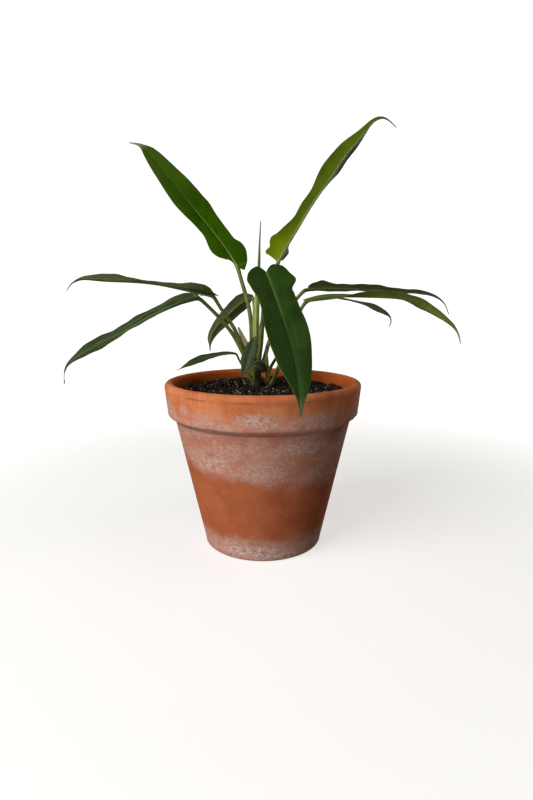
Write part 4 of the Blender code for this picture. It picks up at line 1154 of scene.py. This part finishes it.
def stalkMaterial():
    # green in streaks, with darker blotches, and browner at the foot
    material, tree, shader = startMaterial("stalk", 0.42, 0.45)
    lines, along, _ = alongStalk(tree, 3.0, 34.0)
    skin = mix(lines, stalkLook["green"], stalkLook["pale"])
    skin = mix(patches(objectPlace(tree), 0.09, 0.4, 0.66) * 0.4, skin, stalkLook["blotch"])
    skin = mix(along.ease(0.0, 26.0, 0.55, 0.0), skin, stalkLook["foot"])
    coverSkin(shader, skin, lines, 0.3, 0.2)
    return material


def leafRows(leaf, shares):
    # middle line, its length, tangent, face direction and side direction at each share of the length
    middle, length = naturalCurve(leaf["rib"], shares)
    tangent = unit(np.gradient(middle, axis=0))
    faces = unit(np.array(leaf["face"], float))
    keys = np.linspace(0.0, 1.0, len(faces))
    up = np.stack([np.interp(shares, keys, faces[:, axis]) for axis in range(3)], axis=1)
    up = unit(up - np.sum(up * tangent, axis=1, keepdims=True) * tangent)
    return middle, length, tangent, up, np.cross(tangent, up)


def halfWidth(leaf, key, shares):
    # the eased widths, plus a bell for each bump: size * e to the minus ((t - share) / reach) squared,
    # times a heel that opens with the root of t
    width = easedValues(leafSetup["widthStations"], (*leaf[key], leafSetup["tipHalfWidth"]), shares)
    for half, share, reach, size in leaf["bumps"]:
        if half == key:
            width += size * bell((shares - share) / reach)
    return (width * (leaf["heel"] + (1 - leaf["heel"]) * np.clip(shares / 0.03, 0, 1) ** 0.5))[:, None]


def foldAngle(leaf, key, shares):
    # a half's lift, eased between the fold stations
    return np.radians(easedValues(leafSetup["foldStations"], leaf[key], shares))[:, None]


def makeBlade(leaf, seed):
    # for a share t along and a share s across, from -1 to 1, with a = |s|: the point is
    # middle(t) + sign(s) * (a * width * cos(fold) - bow * sin(fold)) * side
    # + (a * width * sin(fold) + bow * cos(fold) + a squared * ripple) * up
    # - sweep * lobe * sin(a * 90 degrees) * tangent, with bow = cup * width * (a - a squared)
    shares = np.linspace(0.0, 1.0, leaf["rows"]) ** leafSetup["rowCrowding"]
    middle, length, tangent, up, side = leafRows(leaf, shares)
    t, s = shares[:, None], np.linspace(-1.0, 1.0, leaf["columns"])[None]
    a, sign = np.abs(s), np.sign(s)
    width = np.where(s < 0, halfWidth(leaf, "left", shares), halfWidth(leaf, "right", shares))
    fold = np.where(s < 0, foldAngle(leaf, "foldLeft", shares), foldAngle(leaf, "foldRight", shares))
    lobe = np.clip(1 - t / leafSetup["lobeShare"], 0, 1) ** 1.5
    back = np.where(s < 0, *leaf["sweep"]) * lobe * np.sin(a * np.pi / 2)
    count, height = leaf["wave"]
    turns = 2 * np.pi * count * t
    frill = leafSetup["edgeWave"] * a * np.sin(2.7 * turns + 2 * sign + seed) * width / 15
    ripple = (height * np.sin(turns + sign) + frill) * np.sin(np.pi * t)
    bow = leafSetup["cup"] * width * (a - a ** 2)
    out = sign * (a * width * np.cos(fold) - bow * np.sin(fold))
    lift = a * width * np.sin(fold) + a ** 2 * ripple + bow * np.cos(fold)
    sheet = middle[:, None] + out[..., None] * side[:, None] + lift[..., None] * up[:, None]
    sheet = sheet - back[..., None] * tangent[:, None]

    # two sides, half the thickness out along the normal, with the relief of veins and midrib
    normal = unit(np.cross(np.gradient(sheet, axis=1), np.gradient(sheet, axis=0)))
    across, distance = s * width, t * length
    slanted = distance - leafSetup["veinSlant"] * np.abs(across)
    veins = np.cos(2 * np.pi * slanted / leafSetup["veinSpacing"])
    relief = leafSetup["veinRelief"] * veins * np.clip(4 * a * (1 - a), 0, 1) * np.clip(width / 10, 0, 1)
    half = leafSetup["thickness"] / 2 * np.clip(width / 3, 0.5, 1)
    half = (half + leaf["whisker"] * np.clip((t - 0.88) / 0.06, 0, 1)) * (1 - 0.6 * a ** 5)
    groove = leafSetup["ribGroove"] * bell(across / 0.9) * (1 - t) * np.clip(width / 6, 0, 1)
    top = sheet + normal * (relief + half - groove)[..., None]
    under = sheet + normal * (relief - half)[..., None]
    points, quads, faceSlots = closeSheet(top, under)
    layers = dict(leafPlace=(s, t, 0.0), leafSize=(across, distance, 0.0))
    for label, parts in layers.items():
        oneSide = np.stack(np.broadcast_arrays(*parts), axis=-1).reshape(-1, 3)
        layers[label] = np.concatenate([oneSide, oneSide])
    skins = [bladeMaterial(leaf, "upper"), bladeMaterial(leaf, "under")]
    piece = buildPiece(leaf["name"] + "_blade", points, quads, noFans, skins, faceSlots, layers)
    dress(piece, leaf["slot"], "blade_" + leaf["name"])


def makeStalk(leaf, material):
    # a round stalk that swells at its foot and joint, has a shallow channel on its upper side, and
    # runs on under the blade as the midrib, a part of its radius sunk into the blade
    shares = np.linspace(0.0, stalkLook["ribReach"], leaf["ribRows"])
    middle, length, _, up, side = leafRows(leaf, shares)
    foot, waist, joint = leaf["stalkRadius"]
    ribRadii = joint * np.interp(shares, (0.0, 0.12, 0.8, 0.93), (1.0, 0.55, 0.25, 0.1))
    lean = (foldAngle(leaf, "foldRight", shares) - foldAngle(leaf, "foldLeft", shares)) / 2
    keel = np.sin(lean) * side - np.cos(lean) * up
    rib = middle + keel * (leafSetup["thickness"] / 2 + stalkLook["ribSunk"] * ribRadii)[:, None]
    steps = np.linspace(0.0, 1.0, stalkLook["rows"])
    stalk, stalkLength = naturalCurve([*leaf["stalk"], rib[0]], steps)
    radii = np.interp(steps, (0.0, 0.35, 1.0), (foot, waist, joint))
    radii *= 1 + 0.22 * bell(steps * stalkLength / 9.0) + 0.14 * bell((1 - steps) * stalkLength / 5.0)
    radii = np.concatenate([radii[:-1], ribRadii * (1 + 0.14 * bell(shares * length / 4.0))])
    path = np.concatenate([stalk[:-1], rib])
    for _ in range(stalkLook["jointSmoothing"]):  # ease the bend at the joint
        path[1:-1] = (path[:-2] + 2 * path[1:-1] + path[2:]) / 4
    turn = turnSteps(stalkLook["sides"])
    channel = stalkLook["channel"] * np.clip(1 - np.linspace(0, 1, len(path)) * 1.3, 0, 1)[:, None]
    section = 1 - channel * bell((turn - np.pi * 1.5) / 0.45) + 0.02 * np.cos(5 * turn)
    shape = carryRound(path, radii[:, None] * section, side[0])
    addTube(leaf["name"] + "_stalk", "stalk", "stalk_" + leaf["name"], shape, distanceAlong(path), material)


stalkSkin = stalkMaterial()
for number, given in enumerate(leaves, 1):
    leaf = {**leafDefaults, **given}
    makeBlade(leaf, number)
    makeStalk(leaf, stalkSkin)
print("leaves and stalks grown:", len(leaves))
